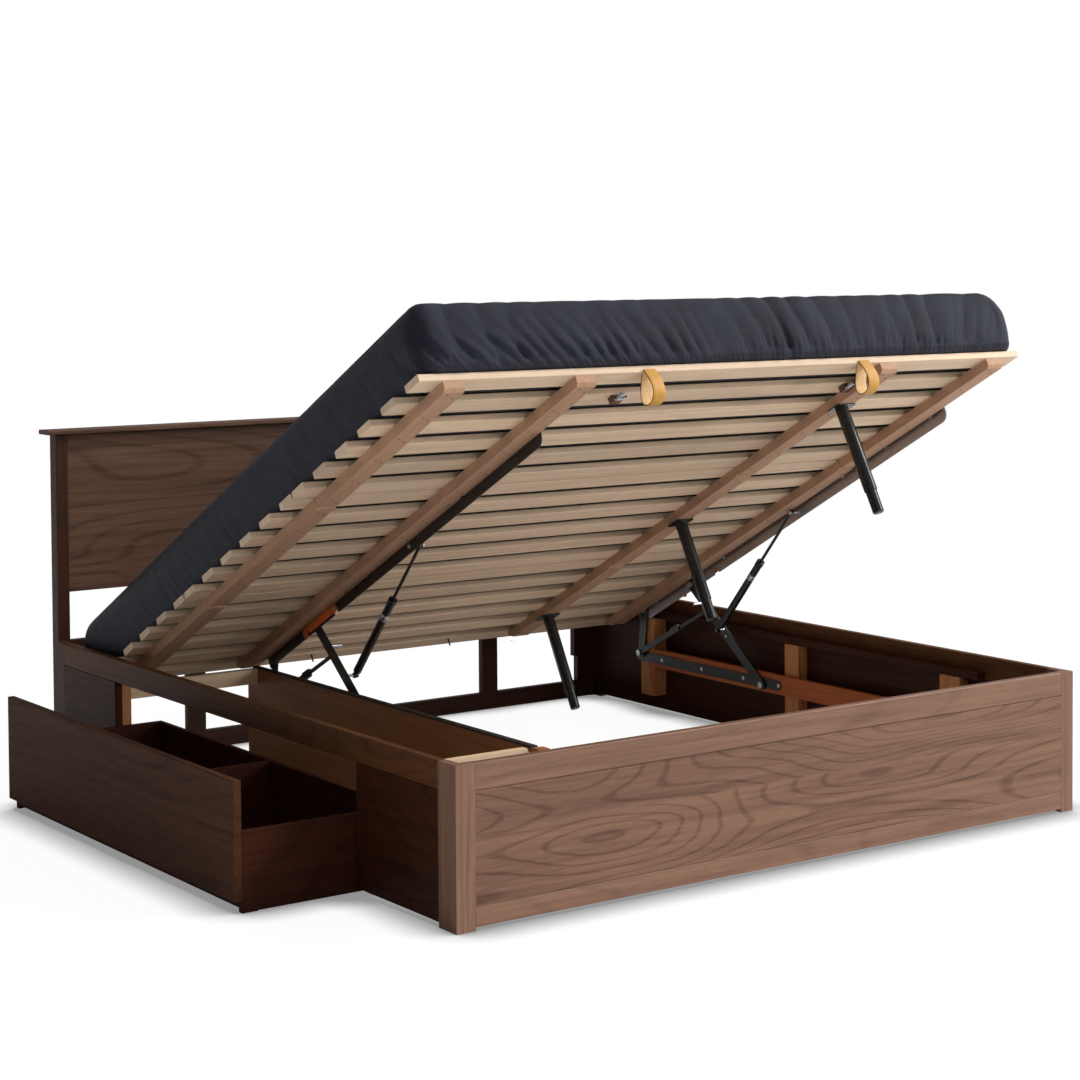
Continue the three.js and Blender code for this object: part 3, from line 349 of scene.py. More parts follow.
class Shader:
    """A node tree with one principled shader, and short calls that add nodes to it."""

    def __init__(self, name, roughness=0.5, metallic=0.0):
        self.material = bpy.data.materials.new(name)
        self.material.use_nodes = True
        self.nodes = self.material.node_tree.nodes
        self.links = self.material.node_tree.links
        self.surface = self.nodes["Principled BSDF"]
        self.surface.inputs["Roughness"].default_value = roughness
        self.surface.inputs["Metallic"].default_value = metallic
        self.place = self.add("ShaderNodeTexCoord").outputs["Object"]

    def add(self, kind, inputs=None, **settings):
        """Adds a node, with its settings, and its inputs as values or as other nodes' sockets."""
        node = self.nodes.new(kind)
        for key, value in settings.items():
            setattr(node, key, value)
        for key, value in (inputs or {}).items():
            if isinstance(value, bpy.types.NodeSocket):
                self.links.new(value, node.inputs[key])
            else:
                node.inputs[key].default_value = value
        return node

    def math(self, operation, a, b=0.0, clamp=False):
        node = self.add("ShaderNodeMath", {0: a, 1: b}, operation=operation, use_clamp=clamp)
        return node.outputs[0]

    def mapped(self, rotation=(0, 0, 0), scale=(1, 1, 1), location=(0, 0, 0), vector=None):
        node = self.add("ShaderNodeMapping", {
            "Vector": vector or self.place,
            "Location": location, "Rotation": rotation, "Scale": scale,
        })
        return node.outputs[0]

    def noise(self, vector, scale, detail=3.0, rough=0.5, distortion=0.0):
        node = self.add("ShaderNodeTexNoise", {
            "Vector": vector, "Scale": scale, "Detail": detail,
            "Roughness": rough, "Distortion": distortion,
        })
        return node.outputs["Fac"]

    def mix(self, factor, a, b, blend_type="MIX"):
        node = self.add("ShaderNodeMix", data_type="RGBA", blend_type=blend_type)
        for socket, value in ((node.inputs[0], factor), (node.inputs[6], a), (node.inputs[7], b)):
            if isinstance(value, bpy.types.NodeSocket):
                self.links.new(value, socket)
            else:
                socket.default_value = value
        return node.outputs[2]

    def span(self, value, low, high, to_low=0.0, to_high=1.0):
        node = self.add("ShaderNodeMapRange", {
            0: value, 1: low, 2: high, 3: to_low, 4: to_high,
        })
        return node.outputs[0]

    def colour(self, socket):
        self.links.new(socket, self.surface.inputs["Base Color"])

    def roughness(self, socket):
        self.links.new(socket, self.surface.inputs["Roughness"])

    def bump(self, height, strength, distance):
        node = self.add("ShaderNodeBump", {
            "Height": height, "Strength": strength, "Distance": distance,
        })
        self.links.new(node.outputs[0], self.surface.inputs["Normal"])


def flat_to_platform(shader):
    """Coordinates on the platform: x across, s along it and n out of it."""
    c, d = math.cos(RAISED_ANGLE), math.sin(RAISED_ANGLE)
    x0, y0, z0 = PLATFORM_EDGE
    place = (-x0, z0 * d - y0 * c, -y0 * d - z0 * c)
    return shader.mapped(rotation=(RAISED_ANGLE, 0, 0), location=place)


def wood(name, light, dark, along, roughness=0.5, figure=1.0, board=None, platform=False,
         rings=22.0, shift=0.0, shine=0.25):
    """Wood with rings that open into long arches, fine fibres and pores, its grain along an axis.

    The rings are sin(k * noise(p)) of a place p that is drawn out along the grain. board is an axis
    and a width in metres: each strip of that width gets its own shade and its own rings.
    """
    shader = Shader(name, roughness)
    base = flat_to_platform(shader) if platform else shader.place
    if board is not None:
        axis, width = board
        split = shader.add("ShaderNodeSeparateXYZ", {0: base})
        number = shader.math("FLOOR", shader.math("DIVIDE", split.outputs[axis], width))
        tone = shader.add("ShaderNodeTexWhiteNoise", {"W": number}, noise_dimensions="1D").outputs[0]
        jump = shader.add("ShaderNodeCombineXYZ", {
            0: shader.math("MULTIPLY", tone, 7.0),
            1: shader.math("MULTIPLY", tone, 5.0),
            2: shader.math("MULTIPLY", tone, 3.0),
        }).outputs[0]
        base = shader.add("ShaderNodeVectorMath", {0: base, 1: jump}, operation="ADD").outputs[0]
    stretch = {"X": (0.16, 1, 1), "Y": (1, 0.16, 1), "Z": (1, 1, 0.16)}[along]
    fine = {"X": (0.03, 1, 1), "Y": (1, 0.03, 1), "Z": (1, 1, 0.03)}[along]
    drawn = shader.mapped(scale=stretch, location=(shift, shift * 0.7, shift * 0.4), vector=base)
    slow = shader.noise(drawn, 3.0, 2.0, 0.35, 0.2)
    wave = shader.math("SINE", shader.math("MULTIPLY", slow, rings * 2 * math.pi))
    line = shader.span(wave, 0.62, 1.0)
    cloud = shader.span(shader.noise(drawn, 5.0, 3.0, 0.5), 0.35, 0.7)
    ring = shader.math("ADD", shader.math("MULTIPLY", line, 0.6), shader.math("MULTIPLY", cloud, 0.4))
    fibres = shader.noise(shader.mapped(scale=fine, vector=base), 420.0, 4.0, 0.65)
    streaks = shader.noise(shader.mapped(scale=fine, vector=base), 60.0, 3.0, 0.6)
    pores = shader.span(shader.noise(shader.mapped(scale=fine, vector=base), 900.0, 2.0), 0.60, 0.72)
    amount = shader.math("MULTIPLY", ring, 0.55 * figure)
    amount = shader.math("ADD", amount, shader.span(streaks, 0.35, 0.7, 0.0, 0.45))
    amount = shader.math("ADD", amount, shader.span(fibres, 0.3, 0.7, -0.12, 0.16), clamp=True)
    colour = shader.mix(amount, light, dark)
    deep = toned(dark, 0.45)
    colour = shader.mix(shader.math("MULTIPLY", pores, 0.35), colour, deep)
    if board is not None:
        shade = shader.span(tone, 0.0, 1.0, 0.86, 1.08)
        grey = shader.add("ShaderNodeCombineColor", {0: shade, 1: shade, 2: shade}).outputs[0]
        colour = shader.mix(1.0, colour, grey, "MULTIPLY")
    shader.colour(colour)
    shader.roughness(shader.span(fibres, 0.3, 0.7, roughness - 0.05, roughness + 0.08))
    shader.surface.inputs["Specular IOR Level"].default_value = shine
    relief = shader.math("SUBTRACT", fibres, shader.math("MULTIPLY", pores, 0.6))
    shader.bump(relief, 0.35, 0.3 * MM)
    return shader.material


def painted_steel(name, colour, roughness=0.32):
    """Powder paint on steel: an even colour, a fine orange-peel relief and rubbed patches."""
    shader = Shader(name, roughness)
    worn = shader.noise(shader.place, 9.0, 5.0, 0.6)
    rubbed = toned(colour, 1.5)
    shader.colour(shader.mix(shader.span(worn, 0.4, 0.75), colour, rubbed))
    shader.roughness(shader.span(worn, 0.3, 0.7, roughness - 0.06, roughness + 0.12))
    shader.surface.inputs["Specular IOR Level"].default_value = 0.6
    shader.bump(shader.noise(shader.place, 900.0, 2.0), 0.12, 0.2 * MM)
    return shader.material


def zinc(name, colour=None, roughness=0.28):
    """Bright plated metal with a faint clouding."""
    shader = Shader(name, roughness, 1.0)
    cloud = shader.noise(shader.place, 140.0, 3.0)
    colour = colour or linear(205, 208, 214)
    dull = toned(colour, 0.7)
    shader.colour(shader.mix(shader.span(cloud, 0.3, 0.8), colour, dull))
    shader.roughness(shader.span(cloud, 0.3, 0.7, roughness, roughness + 0.15))
    return shader.material


def thread_wave(shader, socket, thread):
    """The sine of a place, one turn for each thread."""
    return shader.math("SINE", shader.math("MULTIPLY", socket, 2 * math.pi / thread))


def cloth(name, colour, thread=0.7 * MM, sheen=0.25, roughness=0.85, shine=0.3):
    """Plain weave on the platform's axes: crossed thread waves, slub, and creases drawn out in n."""
    shader = Shader(name, roughness)
    place = flat_to_platform(shader)
    split = shader.add("ShaderNodeSeparateXYZ", {0: place})
    across = thread_wave(shader, split.outputs[0], thread)
    around = shader.math("ADD", split.outputs[1], split.outputs[2])
    weave = shader.math("MULTIPLY", across, thread_wave(shader, around, thread))
    slub = shader.noise(place, 260.0, 3.0, 0.6)
    cloud = shader.noise(place, 7.0, 4.0, 0.55)
    tone = shader.span(cloud, 0.3, 0.75)
    lighter = toned(colour, 1.45)
    base = shader.mix(tone, colour, lighter)
    base = shader.mix(shader.span(slub, 0.5, 0.8, 0.0, 0.35), base, lighter)
    shader.colour(base)
    shader.surface.inputs["Sheen Weight"].default_value = sheen
    shader.surface.inputs["Sheen Roughness"].default_value = 0.45
    shader.surface.inputs["Specular IOR Level"].default_value = shine
    drawn = shader.mapped(scale=(1.0, 1.0, 0.28), vector=place)
    crease = shader.noise(drawn, 34.0, 5.0, 0.55, 0.6)
    height = shader.math("MULTIPLY", weave, 0.06)
    height = shader.math("ADD", height, shader.math("MULTIPLY", slub, 0.12))
    height = shader.math("ADD", height, crease)
    shader.bump(height, 0.8, 3.0 * MM)
    return shader.material


def leather(name, colour, grain=520.0, roughness=0.55):
    """Leather: pebbled by cell edges, with slow clouds of tone."""
    shader = Shader(name, roughness)
    cells = shader.add("ShaderNodeTexVoronoi", {"Vector": shader.place, "Scale": grain},
                       feature="DISTANCE_TO_EDGE").outputs["Distance"]
    edge = shader.span(cells, 0.0, 0.12)
    cloud = shader.noise(shader.place, 40.0, 4.0)
    darker = toned(colour, 0.62)
    shader.colour(shader.mix(shader.span(cloud, 0.35, 0.8, 0.0, 0.5), colour, darker))
    shader.bump(edge, 0.25, 0.3 * MM)
    return shader.material


def plain(name, colour, roughness=0.6, grain=300.0):
    """Moulded plastic or rubber with a fine matt relief."""
    shader = Shader(name, roughness)
    speck = shader.noise(shader.place, grain, 3.0)
    lighter = toned(colour, 1.3)
    shader.colour(shader.mix(shader.span(speck, 0.3, 0.8), colour, lighter))
    shader.bump(speck, 0.15, 0.2 * MM)
    return shader.material


# Pieces

def outline(inset, shares):
    """Points around the mattress's plan, drawn in by an inset: a rectangle with round corners.

    Returns x, s and the outward direction at shares of the outline, which starts at the right foot
    corner and runs up the right side, over the head and down the left side to the foot.
    """
    size = bpy.context.scene.bed_sizes
    radius = max(size.corner_radius - inset, size.corner_radius / 4)
    x0, x1 = size.mattress_left + inset, size.mattress_left + size.mattress_width - inset
    s0, s1 = size.mattress_foot + inset, size.mattress_foot + size.mattress_length - inset
    corners = [
        (x1 - radius, s0 + radius, -math.pi / 2), (x1 - radius, s1 - radius, 0),
        (x0 + radius, s1 - radius, math.pi / 2), (x0 + radius, s0 + radius, math.pi),
    ]
    steps = np.linspace(0, math.pi / 2, 25)
    ends = []
    for x, s, start in corners:
        turn = start + steps
        ends.append(np.stack([
            x + radius * np.cos(turn), s + radius * np.sin(turn), np.cos(turn), np.sin(turn),
        ], axis=-1))
    path = np.concatenate([*ends, ends[0][:1]])
    length = np.concatenate([[0], np.cumsum(np.hypot(*np.diff(path[:, :2], axis=0).T))])
    at = np.asarray(shares) * length[-1]
    x, s, a, b = (np.interp(at, length, path[:, k]) for k in range(4))
    norm = np.hypot(a, b)
    return x, s, a / norm, b / norm


def mattress_section(offset, hem, crown_rings):
    """Inset and height of each ring, from under the mattress over its side to its crown."""
    size = bpy.context.scene.bed_sizes
    low = UNDERSIDE_RADIUS - offset
    base = UNDERSIDE_LIFT + offset
    high = size.edge_radius - offset
    top = size.mattress_height - offset
    rings = [(hem, base), (hem * 0.5, base)] if hem else []
    for turn in np.linspace(-math.pi / 2, -math.pi, 7):
        rings.append((offset + low + low * math.cos(turn), base + low + low * math.sin(turn)))
    side0, side1 = rings[-1][1], top - high
    for share in np.linspace(0, 1, 14)[1:-1]:
        bulge = size.bulge * math.sin(math.pi * share)
        rings.append((offset - bulge, side0 + (side1 - side0) * share))
    for turn in np.linspace(math.pi, math.pi / 2, 9):
        rings.append((offset + high + high * math.cos(turn), top - high + high * math.sin(turn)))
    reach = 0.5 * min(size.mattress_width, size.mattress_length)
    for share in np.linspace(0, 1, crown_rings + 1)[1:]:
        inset = high + (reach - 0.01 - high) * share
        rings.append((inset, top + size.crown * math.sin(share * math.pi / 2)))
    return rings


def fold_wave(u, height, length, reach, lean, seed):
    """Pleats of one size along the outline u: round ridges with sharp valleys between them.

    The height is |sin(pi (u + lean h + w / 4) / l)| - 0.64, where l is the length of a pleat and w
    is l times a slow wander made of six sines in u and h. Six more sines in u make the pleats
    stronger and weaker. The height falls to 0 where h comes to reach.
    """
    rng = np.random.default_rng(seed)
    wander = np.zeros_like(u)
    strength = np.zeros_like(u)
    for k in range(6):
        turn, rise = rng.uniform(0.5, 5.0), rng.uniform(-9, 9)
        wander += np.sin(2 * math.pi * turn * u + rise * height + rng.uniform(0, 6)) / turn
        strength += np.sin(2 * math.pi * rng.uniform(0.4, 3.0) * u + rng.uniform(0, 6))
    place = u + lean * height + 0.25 * length * wander
    ridge = np.abs(np.sin(math.pi * place / length)) - RIDGE_MEAN
    fade = np.clip(1 - height / reach, 0, 1) ** 0.8
    return ridge * fade * np.clip(0.75 + 0.28 * strength, 0.1, 1.5)


def sheet_columns():
    """Places along the sheet's outline, closest at the foot and next on the left side."""
    size = bpy.context.scene.bed_sizes
    runs = (size.mattress_length, size.mattress_width) * 2
    total = sum(runs)
    places, start = [], 0.0
    for run, count in zip(runs, SHEET_COUNTS):
        places.append((start + run * np.arange(count) / count) / total)
        start += run
    return np.concatenate(places)


def sheet_piece(materials):
    """The fitted sheet: rings of the mattress's section, pushed out along the outline by pleats.

    The push is the sum of three fold_waves, deep on the foot and almost flat on the sides and the
    head, plus a long soft ridge along those. It stays between the deepest valley and the highest
    ridge, and fades over the upper edge and on the crown.
    """
    size = bpy.context.scene.bed_sizes
    share_around = sheet_columns()
    columns = len(share_around)
    rings = mattress_section(0.0, size.hem_width, 9)
    length = 2 * (size.mattress_width + size.mattress_length)
    u = share_around * length
    foot_start = 2 * size.mattress_length + size.mattress_width
    across = (u - foot_start) / size.mattress_width
    at_foot = 1 / (1 + np.exp(-np.minimum(across, 1 - across) * size.mattress_width / 0.02))
    at_foot = np.where(across < -0.2, 0.0, at_foot)
    lean = np.where(at_foot > 0.05, 0.8 - 1.3 * np.clip(across, 0, 1), 0.3)
    rows = []
    for inset, height in rings:
        x, s, a, b = outline(inset, share_around)
        crown = 1.0 if inset < size.edge_radius * 1.1 else max(0.0, 1.0 - (inset - 0.06) / 0.12)
        share = min(max(height / size.mattress_height, 0.0), 1.0)
        pleats = np.zeros(columns)
        for pleat, reach, slant, weight, seed in PLEATS:
            pleats += weight * fold_wave(u, height, pleat, reach, lean * slant, seed)
        depth = size.fold_depth * (0.08 + 0.92 * at_foot)
        push = depth * pleats + 0.002 * at_foot
        push += 0.006 * (1 - at_foot) * math.exp(-((share - 0.62) / 0.16) ** 2)
        lift = np.zeros(columns)
        if height < 0.02:
            push *= 0.4
            lift = 0.0012 * np.abs(np.sin(u * 220)) * crown
        push = np.clip(push, DEEPEST_VALLEY, HIGHEST_RIDGE) * crown
        rows.append(platform_points(x + a * push, s + b * push, height + lift))
    points = np.concatenate([*rows, platform_points(
        np.array([size.mattress_left + size.mattress_width / 2]),
        np.array([size.mattress_foot + size.mattress_length / 2]),
        np.array([size.mattress_height + size.crown]),
    )])
    faces = grid_faces(len(rows), columns).tolist()
    tip = len(points) - 1
    start = (len(rows) - 1) * columns
    faces += [[start + i, start + (i + 1) % columns, tip] for i in range(columns)]
    obj = add_piece("fitted_sheet_cloth", points, faces, "platform", materials)
    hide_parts("fitted_sheet")
    return obj


def mattress_piece(materials):
    """The mattress inside the sheet: the same section, closed below with a quilted underside.

    Its sides are drawn in by the tuck as well, so that the sheet's valleys stay outside it.
    The underside's height is 1.5 mm * |sin(x / w)| * |sin(s / w)|, with w the quilting's squares.
    """
    size = bpy.context.scene.bed_sizes
    columns = 240
    shares = np.arange(columns) / columns
    offset = MATTRESS_CLEARANCE
    rings = mattress_section(offset, 0.0, 8)
    middle = (
        size.mattress_left + size.mattress_width / 2,
        size.mattress_foot + size.mattress_length / 2,
    )
    rows = []
    for share in np.linspace(0.06, 1, 16):
        x, s, _, _ = outline(offset + 0.02, shares)
        x = middle[0] + (x - middle[0]) * share
        s = middle[1] + (s - middle[1]) * share
        quilt = np.abs(np.sin(x / 0.06)) * np.abs(np.sin(s / 0.06))
        rows.append(platform_points(x, s, offset + 1.5 * MM * quilt * (1 - share ** 8)))
    for inset, height in rings[1:]:
        x, s, _, _ = outline(inset + MATTRESS_TUCK, shares)
        rows.append(platform_points(x, s, np.full(columns, height)))
    points = np.concatenate([*rows, platform_points(
        np.full(2, middle[0]), np.full(2, middle[1]),
        np.array([offset, size.mattress_height + size.crown - offset]),
    )])
    faces = grid_faces(len(rows), columns).tolist()
    start = (len(rows) - 1) * columns
    for i in range(columns):
        k = (i + 1) % columns
        faces.append([k, i, len(points) - 2])
        faces.append([start + i, start + k, len(points) - 1])
    obj = add_piece("mattress_block", points, faces, "platform", materials)
    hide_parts("mattress")
    return obj


def loop_piece(number, x_middle, materials):
    """A leather pull loop: a rounded band carried along a drop-shaped path below the first slat.

    The path at turn t is s = lean f - w/2 sin t |sin(t/2)|^1.4, n = top - (top - tip) f,
    with f = (1 - cos t) / 2. The band's inner face is suede, the rest is leather.
    """
    width, thickness = 35 * MM, 3 * MM
    opening, top, tip, lean = 74 * MM, -9 * MM, -94 * MM, 18 * MM
    front = -0.3 * MM - thickness / 2
    steps = 96
    start = 0.42
    t = np.linspace(start, 2 * math.pi - start, steps)
    bulge = np.sin(t) * np.abs(np.sin(t / 2)) ** 1.4
    fall = (1 - np.cos(t)) / 2
    s = front + lean * fall - (opening / 2 - thickness / 2) * bulge
    n = top - (top - tip - thickness / 2) * fall
    ds, dn = np.gradient(s), np.gradient(n)
    norm = np.hypot(ds, dn)
    out_s, out_n = dn / norm, -ds / norm
    round_edge = [
        (-0.5, -0.35), (-0.47, -0.5), (-0.25, -0.5), (0, -0.5),
        (0.25, -0.5), (0.47, -0.5), (0.5, -0.35),
        (0.5, 0.35), (0.47, 0.5), (0.25, 0.5), (0, 0.5),
        (-0.25, 0.5), (-0.47, 0.5), (-0.5, 0.35),
    ]
    rows = []
    for i in range(steps):
        across = np.array([p[0] for p in round_edge]) * width
        out = np.array([p[1] for p in round_edge]) * thickness
        rows.append(platform_points(x_middle + across, s[i] + out_s[i] * out, n[i] + out_n[i] * out))
    count = len(round_edge)
    faces = grid_faces(steps, count).tolist()
    faces += [list(range(count))[::-1], [(steps - 1) * count + i for i in range(count)]]
    inner = {0, 1, 2, 3, 4, 5}
    cut = {6, 13}
    slots = [1 if j in inner else 2 if j in cut else 0 for _ in range(steps - 1) for j in range(count)]
    slots += [0, 0]
    obj = add_piece(f"pull_loop_leather_{number}", np.concatenate(rows), faces, "platform",
                    materials, slots)
    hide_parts(f"pull_loop_{number}")
    return obj


def disc_faces(start, sides):
    """A fan of a domed disc whose centre is its last point."""
    return [[start + i, start + (i + 1) % sides, start + sides] for i in range(sides)]


def screw_dots(materials):
    """Dark discs under the bearers, two at each slat: painted shade that stands in for the screw
    recesses.
    """
    sides = 12
    turn = np.arange(sides) / sides * 2 * math.pi
    points, faces = [], []
    for section in range(3):
        for slat in range(SLATS_PER_SECTION):
            middle = section * (SECTION_LENGTH + SECTION_GAP) + slat * SLAT_PITCH + SLAT_WIDTH / 2
            for bearer in BEARER_MIDDLES:
                for side in (-1, 1):
                    x = bearer + side * SCREW_INSET
                    s = middle + side * SCREW_STEP
                    depth = -SLAT_THICKNESS - BEARER_DEPTH - 0.15 * MM
                    faces += disc_faces(len(points), sides)
                    ring = platform_points(
                        x + SCREW_RADIUS * np.cos(turn), s + SCREW_RADIUS * np.sin(turn), depth,
                    )
                    points += [*ring, platform_points(x, s, depth - 0.1 * MM)]
    return add_piece("bearer_screws", np.array(points), faces, "platform", materials)


def revolved(profile, start, direction, sides):
    """A profile of (along, radius) turned about a line: start + direction along, r around it."""
    axis = np.array(direction) / np.linalg.norm(direction)
    side = np.array([1.0, 0.0, 0.0])
    up = np.cross(axis, side)
    turn = np.arange(sides) / sides * 2 * math.pi
    ring = np.outer(np.cos(turn), side) + np.outer(np.sin(turn), up)
    return np.concatenate([np.array(start) + axis * along + ring * r for along, r in profile])


def strut_bands(materials):
    """The plain bright band and the wider end cap on each gas strut's cylinder."""
    top, foot = np.array(STRUT_TOP), np.array(STRUT_FOOT)
    axis = (foot - top) / np.linalg.norm(foot - top)
    sides = 40
    for side, x in STRUT_SIDES:
        for piece, begin, end, radius, look in (
            ("band", 0.262, 0.284, 11.25 * MM, 0), ("cap", 0.2065, 0.224, 12.2 * MM, 1),
        ):
            start = top + [x, 0, 0] + axis * begin
            run = end - begin
            profile = [
                (0, 10.6 * MM), (0, radius - 0.4 * MM), (0.4 * MM, radius),
                (run - 0.4 * MM, radius), (run, radius - 0.4 * MM), (run, 10.6 * MM),
            ]
            points = revolved(profile, start, axis, sides)
            add_piece(f"strut_{piece}_{side}", points, grid_faces(len(profile), sides),
                      f"strut_cylinder_{side}",
                      [materials[look]])


# Operators

class BED_OT_stage(bpy.types.Operator):
    """Makes the floor, the lamps, the background and the camera"""

    bl_idname = "bed.stage"
    bl_label = "Stage"

    def execute(self, context):
        self.camera(context)
        self.lamps(context)
        self.floor()
        self.background(context)
        return {"FINISHED"}

    def camera(self, context):
        data = bpy.data.cameras.new("camera")
        data.sensor_width = SENSOR_WIDTH
        data.lens = FOCAL_PIXELS / PHOTO_SIZE * SENSOR_WIDTH
        data.shift_y = (MIDDLE_ROW - PHOTO_SIZE / 2) / PHOTO_SIZE
        turn = Euler((math.pi / 2 + CAMERA_TILT, 0, -CAMERA_HEADING)).to_matrix()
        turn = turn @ Matrix.Rotation(CAMERA_ROLL, 3, "Z")
        camera = bpy.data.objects.new("camera", data)
        camera.matrix_world = Matrix.Translation(CAMERA_PLACE) @ turn.to_4x4()
        context.scene.collection.objects.link(camera)
        context.scene.camera = camera

    def lamps(self, context):
        # Name, direction toward the lamp, strength, softness in degrees and colour
        suns = [
            ("key", (1.5, -0.8, 1.5), 2.2, 14, (1.0, 0.985, 0.96)),
            ("window", (0.7, -0.75, 0.25), 0.6, 20, (1.0, 0.98, 0.95)),
        ]
        for name, toward, strength, softness, colour in suns:
            data = bpy.data.lights.new(name, "SUN")
            data.energy = strength
            data.angle = math.radians(softness)
            data.color = colour
            self.place_lamp(context, data, toward)
        panel = bpy.data.lights.new("panel", "AREA")
        panel.energy = 15.0
        panel.size = 0.9
        self.place_lamp(context, panel, (1.1, -1.2, 0.55)).location = (2.0, -2.1, 1.75)

    def place_lamp(self, context, data, toward):
        """Links a lamp that shines from the direction toward."""
        lamp = bpy.data.objects.new(data.name, data)
        lamp.rotation_mode = "QUATERNION"
        lamp.rotation_quaternion = Vector(toward).to_track_quat("Z", "Y")
        context.scene.collection.objects.link(lamp)
        return lamp

    def floor(self):
        bpy.ops.mesh.primitive_plane_add(size=60)
        plane = bpy.context.object
        plane.name = "floor"
        shader = Shader("floor_white", 0.9)
        shader.surface.inputs["Base Color"].default_value = (0.97, 0.97, 0.97, 1)
        shader.surface.inputs["Specular IOR Level"].default_value = 0.0
        # Painted shadow: the camera sees the floor glow white, dimmed by ambient occlusion near the
        # bed as a painted contact shadow
        near = shader.add("ShaderNodeAmbientOcclusion", {"Distance": 0.13}, samples=32).outputs["AO"]
        glow_with_painted_shadow = shader.add("ShaderNodeEmission", {
            "Color": (1, 1, 1, 1), "Strength": shader.span(near, 0.5, 0.95, 0.30, 1.04),
        })
        seen = shader.add("ShaderNodeLightPath").outputs["Is Camera Ray"]
        both = shader.add("ShaderNodeMixShader", {
            0: shader.math("MULTIPLY", seen, 0.92), 1: shader.surface.outputs[0], 2: glow_with_painted_shadow.outputs[0],
        })
        shader.links.new(both.outputs[0], shader.nodes["Material Output"].inputs[0])
        plane.data.materials.append(shader.material)

    def background(self, context):
        world = bpy.data.worlds.new("studio")
        context.scene.world = world
        world.use_nodes = True
        nodes, links = world.node_tree.nodes, world.node_tree.links
        path = nodes.new("ShaderNodeLightPath")
        seen = nodes.new("ShaderNodeBackground")
        seen.inputs[0].default_value = (1, 1, 1, 1)
        seen.inputs[1].default_value = 1.0
        lighting = nodes["Background"]
        lighting.inputs[0].default_value = (0.96, 0.98, 1.0, 1)
        heading = nodes.new("ShaderNodeTexCoord").outputs["Generated"]
        side = nodes.new("ShaderNodeVectorMath")
        side.operation = "DOT_PRODUCT"
        side.inputs[1].default_value = (0.8, -0.35, 0.45)
        links.new(heading, side.inputs[0])
        strength = nodes.new("ShaderNodeMapRange")
        for number, value in ((1, -0.8), (2, 0.9), (3, 0.03), (4, 0.55)):
            strength.inputs[number].default_value = value
        links.new(side.outputs["Value"], strength.inputs[0])
        links.new(strength.outputs[0], lighting.inputs[1])
        blend = nodes.new("ShaderNodeMixShader")
        links.new(path.outputs["Is Camera Ray"], blend.inputs[0])
        links.new(lighting.outputs[0], blend.inputs[1])
        links.new(seen.outputs[0], blend.inputs[2])
        links.new(blend.outputs[0], nodes["World Output"].inputs[0])
        context.scene.view_settings.view_transform = "Standard"


def ledger_rule(obj, centres):
    """Slot 1 for the ledger inside a side's top rail."""
    across = np.abs(centres[:, 0] - BED_MIDDLE)
    return (across < LEDGER_OUTER) & (across > LEDGER_INNER) & (centres[:, 2] < LEDGER_TOP)


def mount_rule(obj, centres):
    """Slot 1 for the rail that lies across the wall posts."""
    return (centres[:, 2] > MOUNT_LOW) & (centres[:, 2] < MOUNT_HIGH)


def cross_rule(obj, centres):
    """Slot 1 for the cross rail, right of the post beside the drawer."""
    return centres[:, 0] > CROSS_START


def section_rule(obj, centres):
    """Slot 1 for the bearers under the slats and slot 2 for the pegs."""
    place = platform_coordinates(centres)
    under = place[:, 2] < -SLAT_THICKNESS - 0.2 * MM
    peg = under & np.any([np.abs(place[:, 0] - x) < PEG_REACH for x in PEG_MIDDLES], axis=0)
    return np.where(peg, 2, np.where(under, 1, 0))


def away_from_plate(obj, centres):
    """Distance of faces from the outer face of a steel piece, toward the bed's middle."""
    low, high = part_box(obj.name)
    if low[0] < 0:
        return centres[:, 0] - low[0]
    return high[0] - centres[:, 0]


def base_rule(obj, centres):
    """Slot 1 for the pins and screws on the fixed rail's plate."""
    return away_from_plate(obj, centres) > 3.1 * MM


def upper_rule(obj, centres):
    """Slot 1 for the bolts and pins on both faces of the upper angle's lower leg."""
    depth = away_from_plate(obj, centres)
    lower = platform_coordinates(centres)[:, 2] < -24 * MM
    return lower & ((depth > 10.1 * MM) | (depth < 6.9 * MM))


def link_rule(obj, centres):
    """Slot 1 for the stud on the main link's plate."""
    return away_from_plate(obj, centres) > 5.1 * MM


def catch_rule(obj, centres):
    """Slot 1 for the block behind the catch's hook."""
    along = platform_coordinates(centres)[:, 1]
    return along > along.min() + 24 * MM


